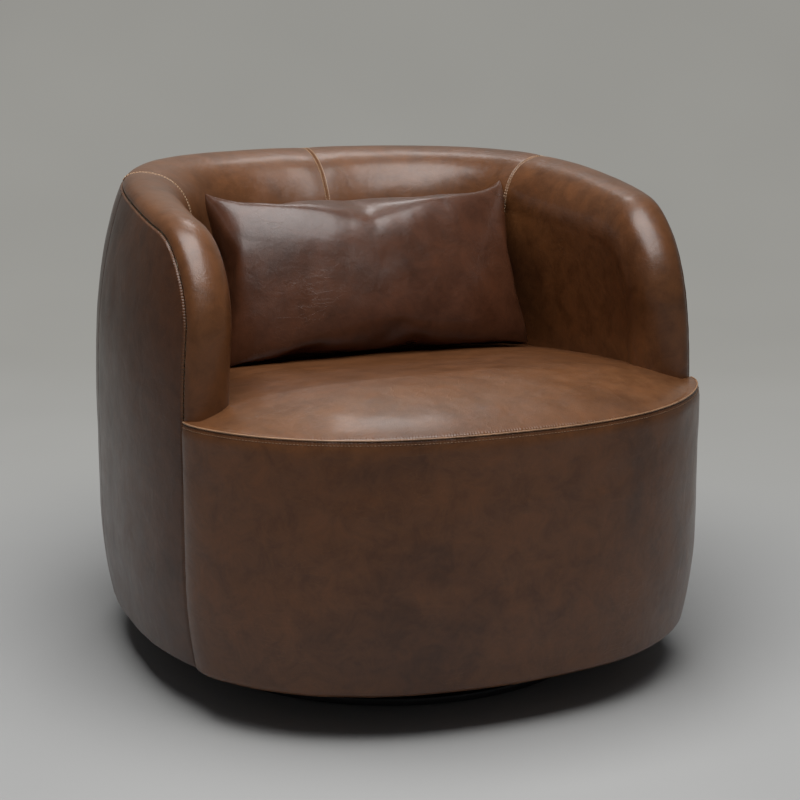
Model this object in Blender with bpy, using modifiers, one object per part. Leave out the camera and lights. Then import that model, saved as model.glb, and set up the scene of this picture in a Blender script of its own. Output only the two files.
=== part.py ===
"""A leather barrel armchair on a low swivel base, modelled piece by piece.

Lengths are metres. The chair faces -Y, +X is to the right as seen from the front, +Z is
up, and the origin is on the floor, on the swivel's axis.
"""
import math

import bmesh
import bpy
import numpy as np
from mathutils import Matrix, Vector

# Body outline, seen from above
BODY_HALF_WIDTH = 0.4315
BODY_BACK_REACH = 0.4635
BODY_SIDE_REACH = 0.4446
BODY_POWER_SHARE = 2.42
FRONT_WIDER = 0.0104
FRONT_LONGER = 0.0114
FRONT_POWER_SHARE = 2.454

# Body outline, seen from the side
BODY_HEIGHT = 0.7251
BODY_FOOT = 0.0545
FOOT_TURN_HEIGHT = 0.0242
FOOT_TURN_REACH = 0.0800
FOOT_DRAW = 0.0200
FOOT_DRAW_HEIGHT = 0.1555
TOP_LEAN = 0.0498
TOP_LEAN_BELOW_SEAT = 0.0837
TOP_LEAN_BELOW_TOP = 0.0161
TOP_LEAN_POWER_SHARE = 2.91
ARM_DROP = 0.0556
ARM_DROP_POWER_SHARE = 2.2515

# Rolled edge of the back and arms
ROLL_HALF_THICK = 0.0422
ROLL_RISE = 0.0296
ROLL_BACK_EXTRA = 0.0259
ARM_FRONT_Y = -0.2370
ARM_CORNER_RADIUS = 0.1137
CREST_HANDLE_SHARE = 0.513
FACE_HANDLE_SHARE = 0.494
PAD_EXTRA_THICK = 0.1200
PAD_SWELL_RUN = 0.0950
PAD_EASE_SHARE = 0.45

# Seams, by the y of the body outline where they run
REAR_SEAM_Y = 0.1050
TOP_SEAM_Y = 0.1985
SEAM_GAP = 0.0009

# Leather, liners and running gaps
LEATHER = 0.0015
LINER = 0.0030
GAP = 0.0003
PAD_GAP = 0.0016
LINER_LIFT = 0.0310
LIP = 0.0350

# Wooden frame inside the wall
OVERRUN = 0.0100
PLY = 0.0180
RIB_DEPTH = 0.0368
RIB_CLEARANCE = 0.0036
POST_CLEARANCE = 0.0010
RIB_SETBACK = 0.0012
RIB_FOOT_REACH = 0.1150
RIB_FOOT_RISE = 0.0900
RIB_FOOT_STEP = 0.0040
BOARD_THICK = 0.0150
BOARD_INSET = 0.0940
BOARD_LIFT = 0.0022
BOARD_HOLE_RADIUS = 0.0220
BOARD_EDGE = 0.0060
BOARD_MID_INSET = 0.0760
BOARD_TOP_INSET = 0.0660
SEAT_RING_DROP = 0.1142
RING_ARM_DEPTH = 0.1300
RING_BACK_EXTRA = 0.1100
RING_FRONT_INSET = 0.0950
FRONT_RIB_COLUMNS = (7, 13)
FRONT_RIB_CLEARANCE = 0.0006
RIB_TOP_GAP = 0.0016

# Seat
SEAT_BELOW_TOP = 0.2989
SEAT_CROWN = 0.0360
SEAT_CROWN_POWER_SHARE = 3.2
SEAT_BACK_DROP = 0.0480
SEAT_DROP_START_Y = -0.2330
SEAT_DROP_RUN = 0.4830
SEAT_CENTRE_Y = -0.0800
SEAT_UNDER_WALL = 0.0450
SEAT_SIDE_INSET = 0.0395
SEAT_BACK_REACH = 0.5000
SEAT_RING_SHARES = (1.0, 0.975, 0.92, 0.82, 0.64, 0.36)
DECK_THICK = 0.0010
SPRING_WIRE_RADIUS = 0.0018
SPRING_X = (-0.1950, -0.0650, 0.0650, 0.1950)
SPRING_LOOP_HALF = 0.0240
SPRING_SEAT = 0.0160
SPRING_LOOPS = 4

# Front border
FRONT_FOAM = 0.0250
FRONT_BOARD = 0.0060
FRONT_FOAM_STEP = 0.0004
BORDER_END_AHEAD = 0.0090
BORDER_TURN = 0.0040
BORDER_TURN_HEIGHT = 0.0180
BORDER_END_DRAW = 0.0085
BORDER_END_RUN = 0.0180

# Swivel base
PLINTH_RADIUS = 0.3200
PLINTH_THICK = 0.0100
PLINTH_EDGE_ROUND = 0.0030
ROUND_SHARE = 0.293
GLIDE_RADIUS = 0.0120
GLIDE_HEIGHT = 0.0030
GLIDE_CIRCLE = 0.2700
GLIDE_COUNT = 5
RISER_RADIUS = 0.1750
RISER_HEIGHT = 0.0259
PLATE_RADIUS = 0.1500
PLATE_THICK = 0.0030
PLATE_HOLE_RADIUS = 0.0090
BALL_CLEARANCE = 0.0003
BALL_CIRCLE = 0.1180
BALL_COUNT = 8
BALL_TURN_SHARE = 0.5
CAGE_HALF_WIDTH = 0.0080
CAGE_THICK = 0.0024
PIVOT_RADIUS = 0.0080
PIVOT_HEAD_RADIUS = 0.0150
PIVOT_HEAD_HEIGHT = 0.0050
BOLT_CIRCLE = 0.1400
BOLT_HEAD_RADIUS = 0.0070
BOLT_HEAD_HEIGHT = 0.0026
BOLT_COUNT = 4
SCREW_COUNT = 3
SCREW_CIRCLE = 0.0850
DUST_COVER = 0.0010
DUST_COVER_INSET = 0.1020
DUST_HOLE_RADIUS = 0.1560

# Lumbar pillow
PILLOW_WIDTH = 0.5020
PILLOW_HEIGHT = 0.2730
PILLOW_THICK = 0.1500
PILLOW_SIDE_DRAW = 0.0160
PILLOW_FILL_SHARE = 0.55
PILLOW_X = 0.0110
PILLOW_SETBACK = 0.4055
PILLOW_LIFT = 0.0048
PILLOW_LEAN_DEGREES = 23.5

# Facets
PLAN_STEPS = 4000
REACH_STEPS = 400
SIDE_ROWS = 4
LOW_ROWS = 3
CORNER_STEPS = 3
ARM_COLUMN_SHARES = (0.34, 0.67, 1.0)
BACK_COLUMNS = 6
CREST_STEPS = 3
FALL_STEPS = 5
FOOT_STEPS = 3
BORDER_COLUMNS = 20
BORDER_ROWS = 4
RIB_LEVELS = 6
RIB_FOOT_LEVELS = 4
RIB_COLUMNS = (3, 6)
POST_STEPS = 4
SPRING_STEPS = 4
PILLOW_ROWS = 10
PILLOW_COLUMNS = 14
ROUND_SIDES = 40
SMALL_SIDES = 12
BALL_SIDES = 10
SHARP_ANGLE = math.radians(35.0)
WELD = 0.000002
MERGE = 0.00001

NAME = "leather_swivel_armchair"


def clear_scene():
    for found in list(bpy.data.objects):
        bpy.data.objects.remove(found, do_unlink=True)


def new_collection(name):
    made = bpy.data.collections.new(name)
    bpy.context.scene.collection.children.link(made)
    return made


def material(name, colour, roughness, metallic=0.0):
    made = bpy.data.materials.new(name)
    made.use_nodes = True
    shader = made.node_tree.nodes["Principled BSDF"]
    shader.inputs["Base Color"].default_value = (*colour, 1.0)
    shader.inputs["Roughness"].default_value = roughness
    shader.inputs["Metallic"].default_value = metallic
    return made


LEATHER_LOOK = ((0.110, 0.045, 0.022), 0.40)
PILLOW_LOOK = ((0.085, 0.033, 0.018), 0.38)
FOAM_LOOK = ((0.86, 0.82, 0.66), 0.95)
PLY_LOOK = ((0.62, 0.44, 0.26), 0.70)
CARD_LOOK = ((0.45, 0.40, 0.33), 0.90)
CLOTH_LOOK = ((0.03, 0.03, 0.03), 0.95)
DECK_LOOK = ((0.50, 0.38, 0.22), 0.95)
BLACK_LOOK = ((0.012, 0.012, 0.013), 0.45)
STEEL_LOOK = ((0.55, 0.56, 0.58), 0.35, 1.0)
RUBBER_LOOK = ((0.02, 0.02, 0.02), 0.85)


class Outline:
    """A plan curve of two half superellipses, walked by arc length from its rear middle."""

    def __init__(self, half_width, back_reach, front_reach, power):
        self.half_width = half_width
        self.back_reach = back_reach
        self.front_reach = front_reach
        self.power = power
        self.angles = np.linspace(0.0, math.pi, PLAN_STEPS)
        x, y = self.point(self.angles)
        steps = np.hypot(np.diff(x), np.diff(y))
        self.lengths = np.concatenate([[0.0], np.cumsum(steps)])

    def point(self, angles):
        sine = np.abs(np.sin(angles)) ** (2 / self.power)
        cosine = np.abs(np.cos(angles)) ** (2 / self.power)
        reach = np.where(np.cos(angles) > 0, self.back_reach, -self.front_reach)
        return self.half_width * sine, reach * cosine

    def at(self, distance):
        """Point and outward normal at a signed distance from the rear middle, +X positive."""
        side = 1.0 if distance >= 0 else -1.0
        angle = np.interp(abs(distance), self.lengths, self.angles)
        x, y = (float(value) for value in self.point(angle))
        reach = self.back_reach if y > 0 else self.front_reach
        across = (x / self.half_width) ** (self.power - 1) / self.half_width
        along = math.copysign((abs(y) / reach) ** (self.power - 1) / reach, y)
        size = math.hypot(across, along)
        return side * x, y, side * across / size, along / size

    def distance_at_y(self, y):
        """Distance from the rear middle, on the +X side, to the point at this y."""
        _, heights = self.point(self.angles)
        return float(np.interp(-y, -heights, self.lengths))

    def half_length(self):
        return float(self.lengths[-1])


# Sizes and places that follow from the body's
FRONT_HALF_WIDTH = BODY_HALF_WIDTH + FRONT_WIDER
FRONT_REACH = BODY_SIDE_REACH + FRONT_LONGER
SEAT_HALF_WIDTH = BODY_HALF_WIDTH - SEAT_SIDE_INSET
SEAT_SEAM_Z = BODY_HEIGHT - SEAT_BELOW_TOP
SEAT_RING_FOOT = SEAT_SEAM_Z - SEAT_RING_DROP
FRONT_FOAM_TOP = SEAT_RING_FOOT + PLY - FRONT_FOAM_STEP
LINER_FOOT = BODY_FOOT + LINER_LIFT
FOOT_DRAW_TOP = BODY_FOOT + FOOT_DRAW_HEIGHT
TOP_LEAN_START = SEAT_SEAM_Z - TOP_LEAN_BELOW_SEAT
TOP_LEAN_END = BODY_HEIGHT - TOP_LEAN_BELOW_TOP
BORDER_END_Y = ARM_FRONT_Y - BORDER_END_AHEAD

SHELL = Outline(BODY_HALF_WIDTH, BODY_BACK_REACH, BODY_SIDE_REACH, BODY_POWER_SHARE)
FRONT = Outline(FRONT_HALF_WIDTH, FRONT_REACH, FRONT_REACH, FRONT_POWER_SHARE)
ARM_END = SHELL.distance_at_y(ARM_FRONT_Y)
REAR_SEAM = SHELL.distance_at_y(REAR_SEAM_Y)
TOP_SEAM = SHELL.distance_at_y(TOP_SEAM_Y)
BORDER_END = FRONT.distance_at_y(BORDER_END_Y)
FOOT_TURN_TOP = BODY_FOOT + FOOT_TURN_HEIGHT

# Depths below the outer surface, from the leather inward
LINER_DEPTH = LEATHER + GAP
RAIL_DEPTH = LINER_DEPTH + LINER + RIB_CLEARANCE
FRAME_DEPTH = RAIL_DEPTH + RIB_DEPTH

# Heights, from the floor up
GLIDE_TOP = GLIDE_HEIGHT
PLINTH_FOOT = GLIDE_TOP + GAP
PLINTH_TOP = PLINTH_FOOT + PLINTH_THICK
RISER_FOOT = PLINTH_TOP + GAP
RISER_TOP = RISER_FOOT + RISER_HEIGHT
LOWER_PLATE_FOOT = RISER_TOP + GAP
LOWER_PLATE_TOP = LOWER_PLATE_FOOT + PLATE_THICK
BOARD_FOOT = BODY_FOOT + BOARD_LIFT
BOARD_TOP = BOARD_FOOT + BOARD_THICK
UPPER_PLATE_TOP = BOARD_FOOT - GAP
UPPER_PLATE_FOOT = UPPER_PLATE_TOP - PLATE_THICK
BALL_Z = (LOWER_PLATE_TOP + UPPER_PLATE_FOOT) / 2
BALL_RADIUS = (UPPER_PLATE_FOOT - LOWER_PLATE_TOP) / 2 - BALL_CLEARANCE
SEAT_RING_TOP = SEAT_RING_FOOT + PLY
WALL_FOOT = SEAT_RING_TOP + GAP
SPRING_Z = SEAT_RING_TOP + GAP + SPRING_WIRE_RADIUS
DECK_FOOT = SPRING_Z + SPRING_WIRE_RADIUS + GAP
SEAT_FOAM_FOOT = DECK_FOOT + DECK_THICK + GAP
RAIL_TOP = LIP + SEAM_GAP + GAP
FRONT_STACK = LEATHER + GAP + FRONT_FOAM + GAP + FRONT_BOARD


def profile(level):
    """Inset from the plan curve, height, and outward and upward parts of the normal."""
    if level >= FOOT_TURN_TOP:
        inset = 0.0
        slope = 0.0
        if level < FOOT_DRAW_TOP:
            share = (FOOT_DRAW_TOP - level) / (FOOT_DRAW_TOP - BODY_FOOT)
            inset = FOOT_DRAW * share ** 2
            slope = -2 * FOOT_DRAW * share / (FOOT_DRAW_TOP - BODY_FOOT)
        if level > TOP_LEAN_START:
            share = (level - TOP_LEAN_START) / (TOP_LEAN_END - TOP_LEAN_START)
            inset = TOP_LEAN * share ** TOP_LEAN_POWER_SHARE
            slope = TOP_LEAN_POWER_SHARE * inset / (level - TOP_LEAN_START)
        size = math.hypot(1.0, slope)
        return inset, level, 1 / size, slope / size
    turn = (FOOT_TURN_TOP - level) / FOOT_TURN_HEIGHT * math.pi / 2
    inset = profile(FOOT_TURN_TOP)[0] + FOOT_TURN_REACH * (1 - math.cos(turn))
    height = FOOT_TURN_TOP - FOOT_TURN_HEIGHT * math.sin(turn)
    out = math.cos(turn) / FOOT_TURN_REACH
    down = math.sin(turn) / FOOT_TURN_HEIGHT
    size = math.hypot(out, down)
    return inset, height, out / size, -down / size


def on_wall(distance, level, depth):
    """Point of the shell at a depth under its outer surface, along the normal."""
    x, y, across, along = SHELL.at(distance)
    inset, height, out, up = profile(level)
    reach = inset + depth * out
    return Vector((x - across * reach, y - along * reach, height - depth * up))


def crest_drop(distance):
    """How far the rolled edge has sunk below the back's height, towards the arm front."""
    y = SHELL.at(distance)[1]
    share = max((BODY_BACK_REACH - y) / (BODY_BACK_REACH - ARM_FRONT_Y), 0.0)
    return ARM_DROP * share ** ARM_DROP_POWER_SHARE


def rearward(distance):
    """Share of the way from the arm front to the middle of the back."""
    return max(1 - abs(distance) / ARM_END, 0.0)


def roll_half(distance):
    """Half the thickness of the rolled edge, more towards the middle of the back."""
    return ROLL_HALF_THICK + ROLL_BACK_EXTRA * rearward(distance)


def roll_start(distance):
    """Level where the roll starts, below its crest."""
    _, _, out, up = profile(BODY_HEIGHT - ROLL_RISE)
    half = roll_half(distance)
    drop = math.hypot(half * up, ROLL_RISE * out) - half * up
    return BODY_HEIGHT - drop - crest_drop(distance)


def edge_level(distance, inward=0.0):
    """Level of the line where the roll starts, or of a line drawn inward from it."""
    radius = ARM_CORNER_RADIUS - inward
    level = roll_start(distance) - inward
    past = abs(distance) - (ARM_END - ARM_CORNER_RADIUS)
    if past > 0:
        level += math.sqrt(max(radius ** 2 - past ** 2, 0.0)) - radius
    return level


def wall_thickness(distance, level):
    """Thickness of the padded wall, more towards the seat and the middle of the back."""
    extra = PAD_EXTRA_THICK * rearward(distance)
    top = edge_level(distance)
    down = max(top - level, 0.0)
    swell = 1 - math.exp(-down / PAD_SWELL_RUN)
    ease = 1 - PAD_EASE_SHARE * min(down / (top - SEAT_SEAM_Z), 1.0) ** 2
    return 2 * roll_half(distance) + extra * swell * ease


def corner_stations(inward):
    """Stations round the arm's front corner: distance, level and turn, foot to crest."""
    radius = ARM_CORNER_RADIUS - inward
    found = []
    for step in range(2 * CORNER_STEPS + 1):
        turn = math.pi / 2 * step / (2 * CORNER_STEPS)
        distance = ARM_END - ARM_CORNER_RADIUS + radius * math.cos(turn)
        level = roll_start(distance) - inward + radius * (math.sin(turn) - 1)
        found.append((distance, level, turn))
    return found


def side_stations(foot, inward):
    """Stations up the arm front, from its foot to the middle of the corner."""
    corner = corner_stations(inward)
    rise = (corner[0][1] - WALL_FOOT) / SIDE_ROWS
    levels = [WALL_FOOT + rise * row for row in range(SIDE_ROWS)]
    if foot < WALL_FOOT:
        rise = (WALL_FOOT - foot) / LOW_ROWS
        levels = [foot + rise * row for row in range(LOW_ROWS)] + levels
    return [(ARM_END - inward, level, 0.0) for level in levels] + corner[:CORNER_STEPS + 1]


def arm_stations(end, inward):
    """Stations along the crest, from the middle of the corner back to REAR_SEAM or TOP_SEAM."""
    found = corner_stations(inward)[CORNER_STEPS:]
    start = found[-1][0]
    stops = [start + (REAR_SEAM - start) * share for share in ARM_COLUMN_SHARES]
    if end < REAR_SEAM:
        stops.append(end)
    return found + [(stop, edge_level(stop, inward), math.pi / 2) for stop in stops]


def back_stations(end, inward):
    """Stations along the crest, from REAR_SEAM or TOP_SEAM to the middle of the back."""
    stops = [end, TOP_SEAM] if end > TOP_SEAM else [end]
    stops += [TOP_SEAM * (1 - column / BACK_COLUMNS) for column in range(1, BACK_COLUMNS + 1)]
    return [(stop, edge_level(stop, inward), math.pi / 2) for stop in stops]


def arm_places(end, foot, inward):
    """Grid of places over one arm: rows go up, columns go from its front to a seam."""
    left = side_stations(foot, inward)
    top = arm_stations(end, inward)
    rows = len(left) - 1
    columns = len(top) - 1
    crest = top[-1][1]
    climb = (crest - foot) / (left[-1][1] - foot)
    spread = (left[0][0] - end) / (top[0][0] - end)
    grid = []
    for row in range(rows + 1):
        v = row / rows
        line = []
        for column in range(columns + 1):
            u = column / columns
            low = end + (top[column][0] - end) * spread
            distance = (1 - u) * left[row][0] + u * end + (1 - v) * low + v * top[column][0]
            distance -= (1 - v) * ((1 - u) * left[0][0] + u * end)
            distance -= v * ((1 - u) * top[0][0] + u * end)
            rear = foot + (left[row][1] - foot) * climb
            level = (1 - u) * left[row][1] + u * rear + (1 - v) * foot + v * top[column][1]
            level -= (1 - v) * foot + v * ((1 - u) * top[0][1] + u * crest)
            line.append((distance, level))
        grid.append(line)
    return grid


def back_places(end, foot, inward):
    """Grid of places over half the back, with the rows of the arm that it meets."""
    left = side_stations(foot, inward)
    shares = [(station[1] - foot) / (left[-1][1] - foot) for station in left]
    stations = back_stations(end, inward)
    return [[(stop, foot + (crest - foot) * share) for stop, crest, _ in stations]
            for share in shares]


def mirrored(places):
    return [[(-place[0], *place[1:]) for place in line] for line in places]


def both_sides(places):
    """One grid across the back from half of it, whose last column is its middle."""
    other = mirrored(places)
    return [line + twin[-2::-1] for line, twin in zip(places, other)]


def outer_points(places, depth):
    return [[on_wall(*place[:2], depth) for place in line] for line in places]


def inner_points(places, inset):
    """Points on the wall's inner face, an inset below it."""
    found = []
    for line in places:
        found.append([on_wall(*place[:2], wall_thickness(*place[:2]) - inset) for place in line])
    return found


def crest_frame(station):
    """Centre of the rolled edge at a station, its outward normal and its crown's direction."""
    distance, level, turn = station
    _, _, across, along = SHELL.at(distance)
    _, _, out, up = profile(level)
    side = math.copysign(1.0, distance)
    normal = Vector((across * out, along * out, up))
    forward = Vector((along, -across, 0.0)) * side
    upward = Vector((-across * up, -along * up, out))
    crown = math.cos(turn) * forward + math.sin(turn) * upward
    return on_wall(distance, level, roll_half(distance)), normal, crown


def section_points(station, lip_station, inset):
    """Points across the rolled edge, from the lip on the outer side to the inner one."""
    distance, level = lip_station[:2]
    thickness = wall_thickness(distance, level)
    inside = on_wall(distance, level, thickness - inset)
    centre, normal, crown = crest_frame(station)
    found = [on_wall(distance, level, inset)]
    for step in range(CREST_STEPS + 1):
        angle = math.pi / 2 * step / CREST_STEPS
        out = (roll_half(station[0]) - inset) * math.cos(angle)
        rise = (ROLL_RISE - inset) * math.sin(angle)
        found.append(centre + out * normal + rise * crown)
    top = found[-1]
    slope = (wall_thickness(distance, level - GAP) - thickness) / GAP * math.sin(station[2])
    fall = (top - inside).dot(crown) * FACE_HANDLE_SHARE
    inward = (inside - top).dot(normal) * CREST_HANDLE_SHARE
    handles = (top + inward * normal, inside + fall * (crown + slope * normal))
    for step in range(1, FALL_STEPS + 1):
        share = step / FALL_STEPS
        rest = 1 - share
        found.append(rest ** 3 * top + 3 * rest ** 2 * share * handles[0]
                     + 3 * rest * share ** 2 * handles[1] + share ** 3 * inside)
    return found


def edge_stations(end, foot, inward):
    return side_stations(foot, inward) + arm_stations(end, inward)[1:]


def weld(parts):
    """Join grids of points into one list of points and triangles, sharing equal points."""
    index = {}
    points = []
    faces = []
    for grid, flip in parts:
        keys = []
        for line in grid:
            row = []
            for point in line:
                key = tuple(round(value / WELD) for value in point)
                if key not in index:
                    index[key] = len(points)
                    points.append(point)
                row.append(index[key])
            keys.append(row)
        for low, high in zip(keys, keys[1:]):
            for a, b, d, c in zip(low, low[1:], high, high[1:]):
                for face in ((a, b, c), (a, c, d)):
                    if len(set(face)) == 3:
                        faces.append(face[::-1] if flip else face)
    return points, faces


def mesh_object(name, points, faces, look, home):
    mesh = bpy.data.meshes.new(name)
    mesh.from_pydata([tuple(point) for point in points], [], faces)
    made = bpy.data.objects.new(name, mesh)
    home.objects.link(made)
    mesh.materials.append(material(name, *look))
    mesh.shade_smooth()
    mesh.set_sharp_from_angle(angle=SHARP_ANGLE)
    return made


def face_outwards(made):
    work = bmesh.new()
    work.from_mesh(made.data)
    bmesh.ops.recalc_face_normals(work, faces=work.faces)
    work.to_mesh(made.data)
    work.free()


def sheet(name, parts, look, home, thickness):
    """A skin: an open surface on its outer side, made solid inward."""
    points, faces = weld(parts)
    made = mesh_object(name, points, faces, look, home)
    solid = made.modifiers.new("Thickness", "SOLIDIFY")
    solid.thickness = thickness
    solid.offset = -1.0
    solid.use_even_offset = True
    return made


def block(name, outer, inner, look, home):
    """A closed solid between two grids of points with the same layout."""
    grids = [(outer, False), (inner, True)]
    grids.append(([outer[0], inner[0]], True))
    grids.append(([outer[-1], inner[-1]], False))
    grids.append(([[line[0] for line in outer], [line[0] for line in inner]], False))
    grids.append(([[line[-1] for line in outer], [line[-1] for line in inner]], True))
    made = mesh_object(name, *weld(grids), look, home)
    face_outwards(made)
    return made


def loft(name, sections, look, home):
    """A closed solid through closed sections with equal numbers of points."""
    grid = [section + section[:1] for section in sections]
    points, faces = weld([(grid, False)])
    count = len(sections[0])
    faces.append(tuple(range(count)))
    faces.append(tuple(range(len(points) - count, len(points))))
    made = mesh_object(name, points, faces, look, home)
    face_outwards(made)
    return made


def cut(made, cutter):
    change = made.modifiers.new("Cut by " + cutter.name, "BOOLEAN")
    change.operation = "DIFFERENCE"
    change.object = cutter
    change.solver = "EXACT"


def as_cutter(made):
    made.hide_render = True
    made.display_type = "WIRE"
    return made


def cylinder(name, radius, low, high, x, y, look, home, sides=ROUND_SIDES):
    bpy.ops.mesh.primitive_cylinder_add(vertices=sides, radius=radius, depth=high - low,
                                        location=(x, y, (low + high) / 2))
    return adopt(name, look, home)


def adopt(name, look, home):
    made = bpy.context.object
    for owner in list(made.users_collection):
        owner.objects.unlink(made)
    home.objects.link(made)
    made.name = name
    made.data.name = name
    made.data.materials.append(material(name, *look))
    made.data.shade_smooth()
    made.data.set_sharp_from_angle(angle=SHARP_ANGLE)
    return made


def turned(name, outline, look, home, sides=ROUND_SIDES):
    """A turned solid from a closed profile of (radius, height) points, axis included or not."""
    mesh = bpy.data.meshes.new(name)
    points = [(radius, 0.0, height) for radius, height in outline]
    closed = outline[0][0] > 0
    edges = [(i, i + 1) for i in range(len(points) - 1)]
    if closed:
        edges.append((len(points) - 1, 0))
    mesh.from_pydata(points, edges, [])
    made = bpy.data.objects.new(name, mesh)
    home.objects.link(made)
    screw = made.modifiers.new("Turn", "SCREW")
    screw.steps = sides
    screw.render_steps = sides
    screw.use_merge_vertices = True
    screw.merge_threshold = MERGE
    screw.use_smooth_shade = True
    mesh.materials.append(material(name, *look))
    return made


def plan_outline(shell_inset, front_inset, back_extra=0.0):
    """Closed plan polygon of the body, inset from its shell and from its front."""
    found = []
    stations = [station[0] for station in edge_stations(TOP_SEAM, WALL_FOOT, 0.0)]
    stations = sorted(set(stations + [stop for stop, _, _ in back_stations(TOP_SEAM, 0.0)]))
    stations = [-stop for stop in stations[::-1] if stop > 0] + stations
    for stop in stations:
        x, y, across, along = SHELL.at(stop)
        inset = shell_inset + back_extra * rearward(stop)
        found.append((x - across * inset, y - along * inset))
    for stop in border_stops():
        x, y, across, along = FRONT.at(stop)
        inset = front_inset + border_draw(stop)
        found.append((x - across * inset, y - along * inset))
    return found


def border_stops():
    """Distances along the front outline, from the +X end round to the -X end."""
    half = FRONT.half_length()
    span = half - BORDER_END
    stops = []
    for column in range(BORDER_COLUMNS + 1):
        share = 2 * column / BORDER_COLUMNS - 1
        ahead = span * abs(share)
        stops.append(half - ahead if share < 0 else -(half - ahead))
    return stops


def plate(name, outlines, foot, thickness, look, home):
    """A flat plate cut to closed outlines, the second one a hole."""
    curve = bpy.data.curves.new(name, "CURVE")
    curve.dimensions = "2D"
    curve.fill_mode = "BOTH"
    curve.extrude = thickness / 2
    for outline in outlines:
        spline = curve.splines.new("POLY")
        spline.points.add(len(outline) - 1)
        for point, (x, y) in zip(spline.points, outline):
            point.co = (x, y, 0.0, 1.0)
        spline.use_cyclic_u = True
    curve.materials.append(material(name, *look))
    made = bpy.data.objects.new(name, curve)
    made.location = (0.0, 0.0, foot + thickness / 2)
    home.objects.link(made)
    return made


def circle(radius, sides=ROUND_SIDES):
    turns = [2 * math.pi * side / sides for side in range(sides)]
    return [(radius * math.cos(turn), radius * math.sin(turn)) for turn in turns]


def foot_levels():
    """Levels from the turned-under bottom edge up to the top of its turn."""
    return [BODY_FOOT + FOOT_TURN_HEIGHT * step / FOOT_STEPS for step in range(FOOT_STEPS + 1)]


def side_sign(side):
    return 1.0 if side == "right" else -1.0


def on_side(places, side):
    return places if side == "right" else mirrored(places)


def outside_arm_panel(side, home):
    """Leather over the arm's outer side, from the rear seam to the arm front."""
    flip = side == "left"
    inner = arm_places(REAR_SEAM, LINER_FOOT, LIP)
    edge = edge_stations(REAR_SEAM, LINER_FOOT, SEAM_GAP)
    lip = edge_stations(REAR_SEAM, LINER_FOOT, LIP)
    inner, edge, lip = on_side(inner, side), *on_side([edge, lip], side)
    base = [edge[0]] + inner[0]
    foot = [[(place[0], level) for place in base] for level in foot_levels()] + [base]
    parts = [(outer_points(inner, 0.0), flip)]
    parts.append((outer_points([lip, edge], 0.0), flip))
    parts.append((outer_points(foot, 0.0), flip))
    name = f"outside_arm_{side}"
    return sheet(name, parts, LEATHER_LOOK, home, LEATHER)


def outside_back_panel(home):
    """Leather over the back's outer side, between the two rear seams."""
    inner = back_places(REAR_SEAM - SEAM_GAP, LINER_FOOT, LIP)
    edge = [(place[0], edge_level(place[0], SEAM_GAP)) for place in inner[-1]]
    foot = [[(place[0], level) for place in inner[0]] for level in foot_levels()]
    grid = both_sides(foot + inner + [edge])
    return sheet("outside_back", [(outer_points(grid, 0.0), False)], LEATHER_LOOK, home, LEATHER)


def arm_facing(side, home):
    """Leather over the arm's front, rolled top and inner face, back to the top seam."""
    flip = side == "left"
    end = TOP_SEAM + SEAM_GAP / 2
    inner = arm_places(end, WALL_FOOT, LIP)
    edge = edge_stations(end, WALL_FOOT, 0.0)
    lip = edge_stations(end, WALL_FOOT, LIP)
    inner, edge, lip = on_side(inner, side), *on_side([edge, lip], side)
    strip = [section_points(here, low, 0.0)[1:] for here, low in zip(edge, lip)]
    parts = [(inner_points(inner, 0.0), not flip), (strip, not flip)]
    return sheet(f"arm_facing_{side}", parts, LEATHER_LOOK, home, LEATHER)


def inside_back(side, home):
    """Leather over half the inside of the back and its rolled top."""
    flip = side == "left"
    end = TOP_SEAM - SEAM_GAP / 2
    inner = back_places(end, WALL_FOOT, LIP)
    grid = on_side([line[:-1] + [(SEAM_GAP / 2, line[-1][1])] for line in inner], side)
    edge = back_stations(end, 0.0)
    lip = back_stations(end, LIP)
    edge[-1] = (SEAM_GAP / 2, *edge[-1][1:])
    lip[-1] = (SEAM_GAP / 2, *lip[-1][1:])
    edge, lip = on_side([edge, lip], side)
    strip = [section_points(here, low, 0.0)[1:] for here, low in zip(edge, lip)]
    parts = [(inner_points(grid, 0.0), not flip), (strip, not flip)]
    return sheet(f"inside_back_{side}", parts, LEATHER_LOOK, home, LEATHER)


def roll_foam(part, home):
    """Foam that rounds the crest of an arm or of the back, over the frame's rail."""
    inset = LEATHER + PAD_GAP
    if part == "back":
        edge = back_stations(TOP_SEAM - SEAM_GAP / 2, 0.0)
        lip = back_stations(TOP_SEAM - SEAM_GAP / 2, LIP)
        edge = both_sides([edge])[0]
        lip = both_sides([lip])[0]
    else:
        edge = edge_stations(TOP_SEAM + SEAM_GAP / 2, WALL_FOOT, 0.0)
        lip = edge_stations(TOP_SEAM + SEAM_GAP / 2, WALL_FOOT, LIP)
        edge, lip = on_side([edge, lip], part)
    sections = [section_points(here, low, inset) for here, low in zip(edge, lip)]
    return loft(f"roll_foam_{part}", sections, FOAM_LOOK, home)


def inner_pad(part, home):
    """Foam between the frame and the inside leather, below the rolled crest."""
    inset = LEATHER + PAD_GAP
    if part == "back":
        places = both_sides(back_places(TOP_SEAM - SEAM_GAP / 2, WALL_FOOT, LIP + SEAM_GAP))
    else:
        places = on_side(arm_places(TOP_SEAM + SEAM_GAP / 2, WALL_FOOT, LIP + SEAM_GAP), part)
    face = inner_points(places, inset)
    back = outer_points(places, FRAME_DEPTH + GAP)
    return block(f"inner_pad_{part}", face, back, FOAM_LOOK, home)


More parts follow.
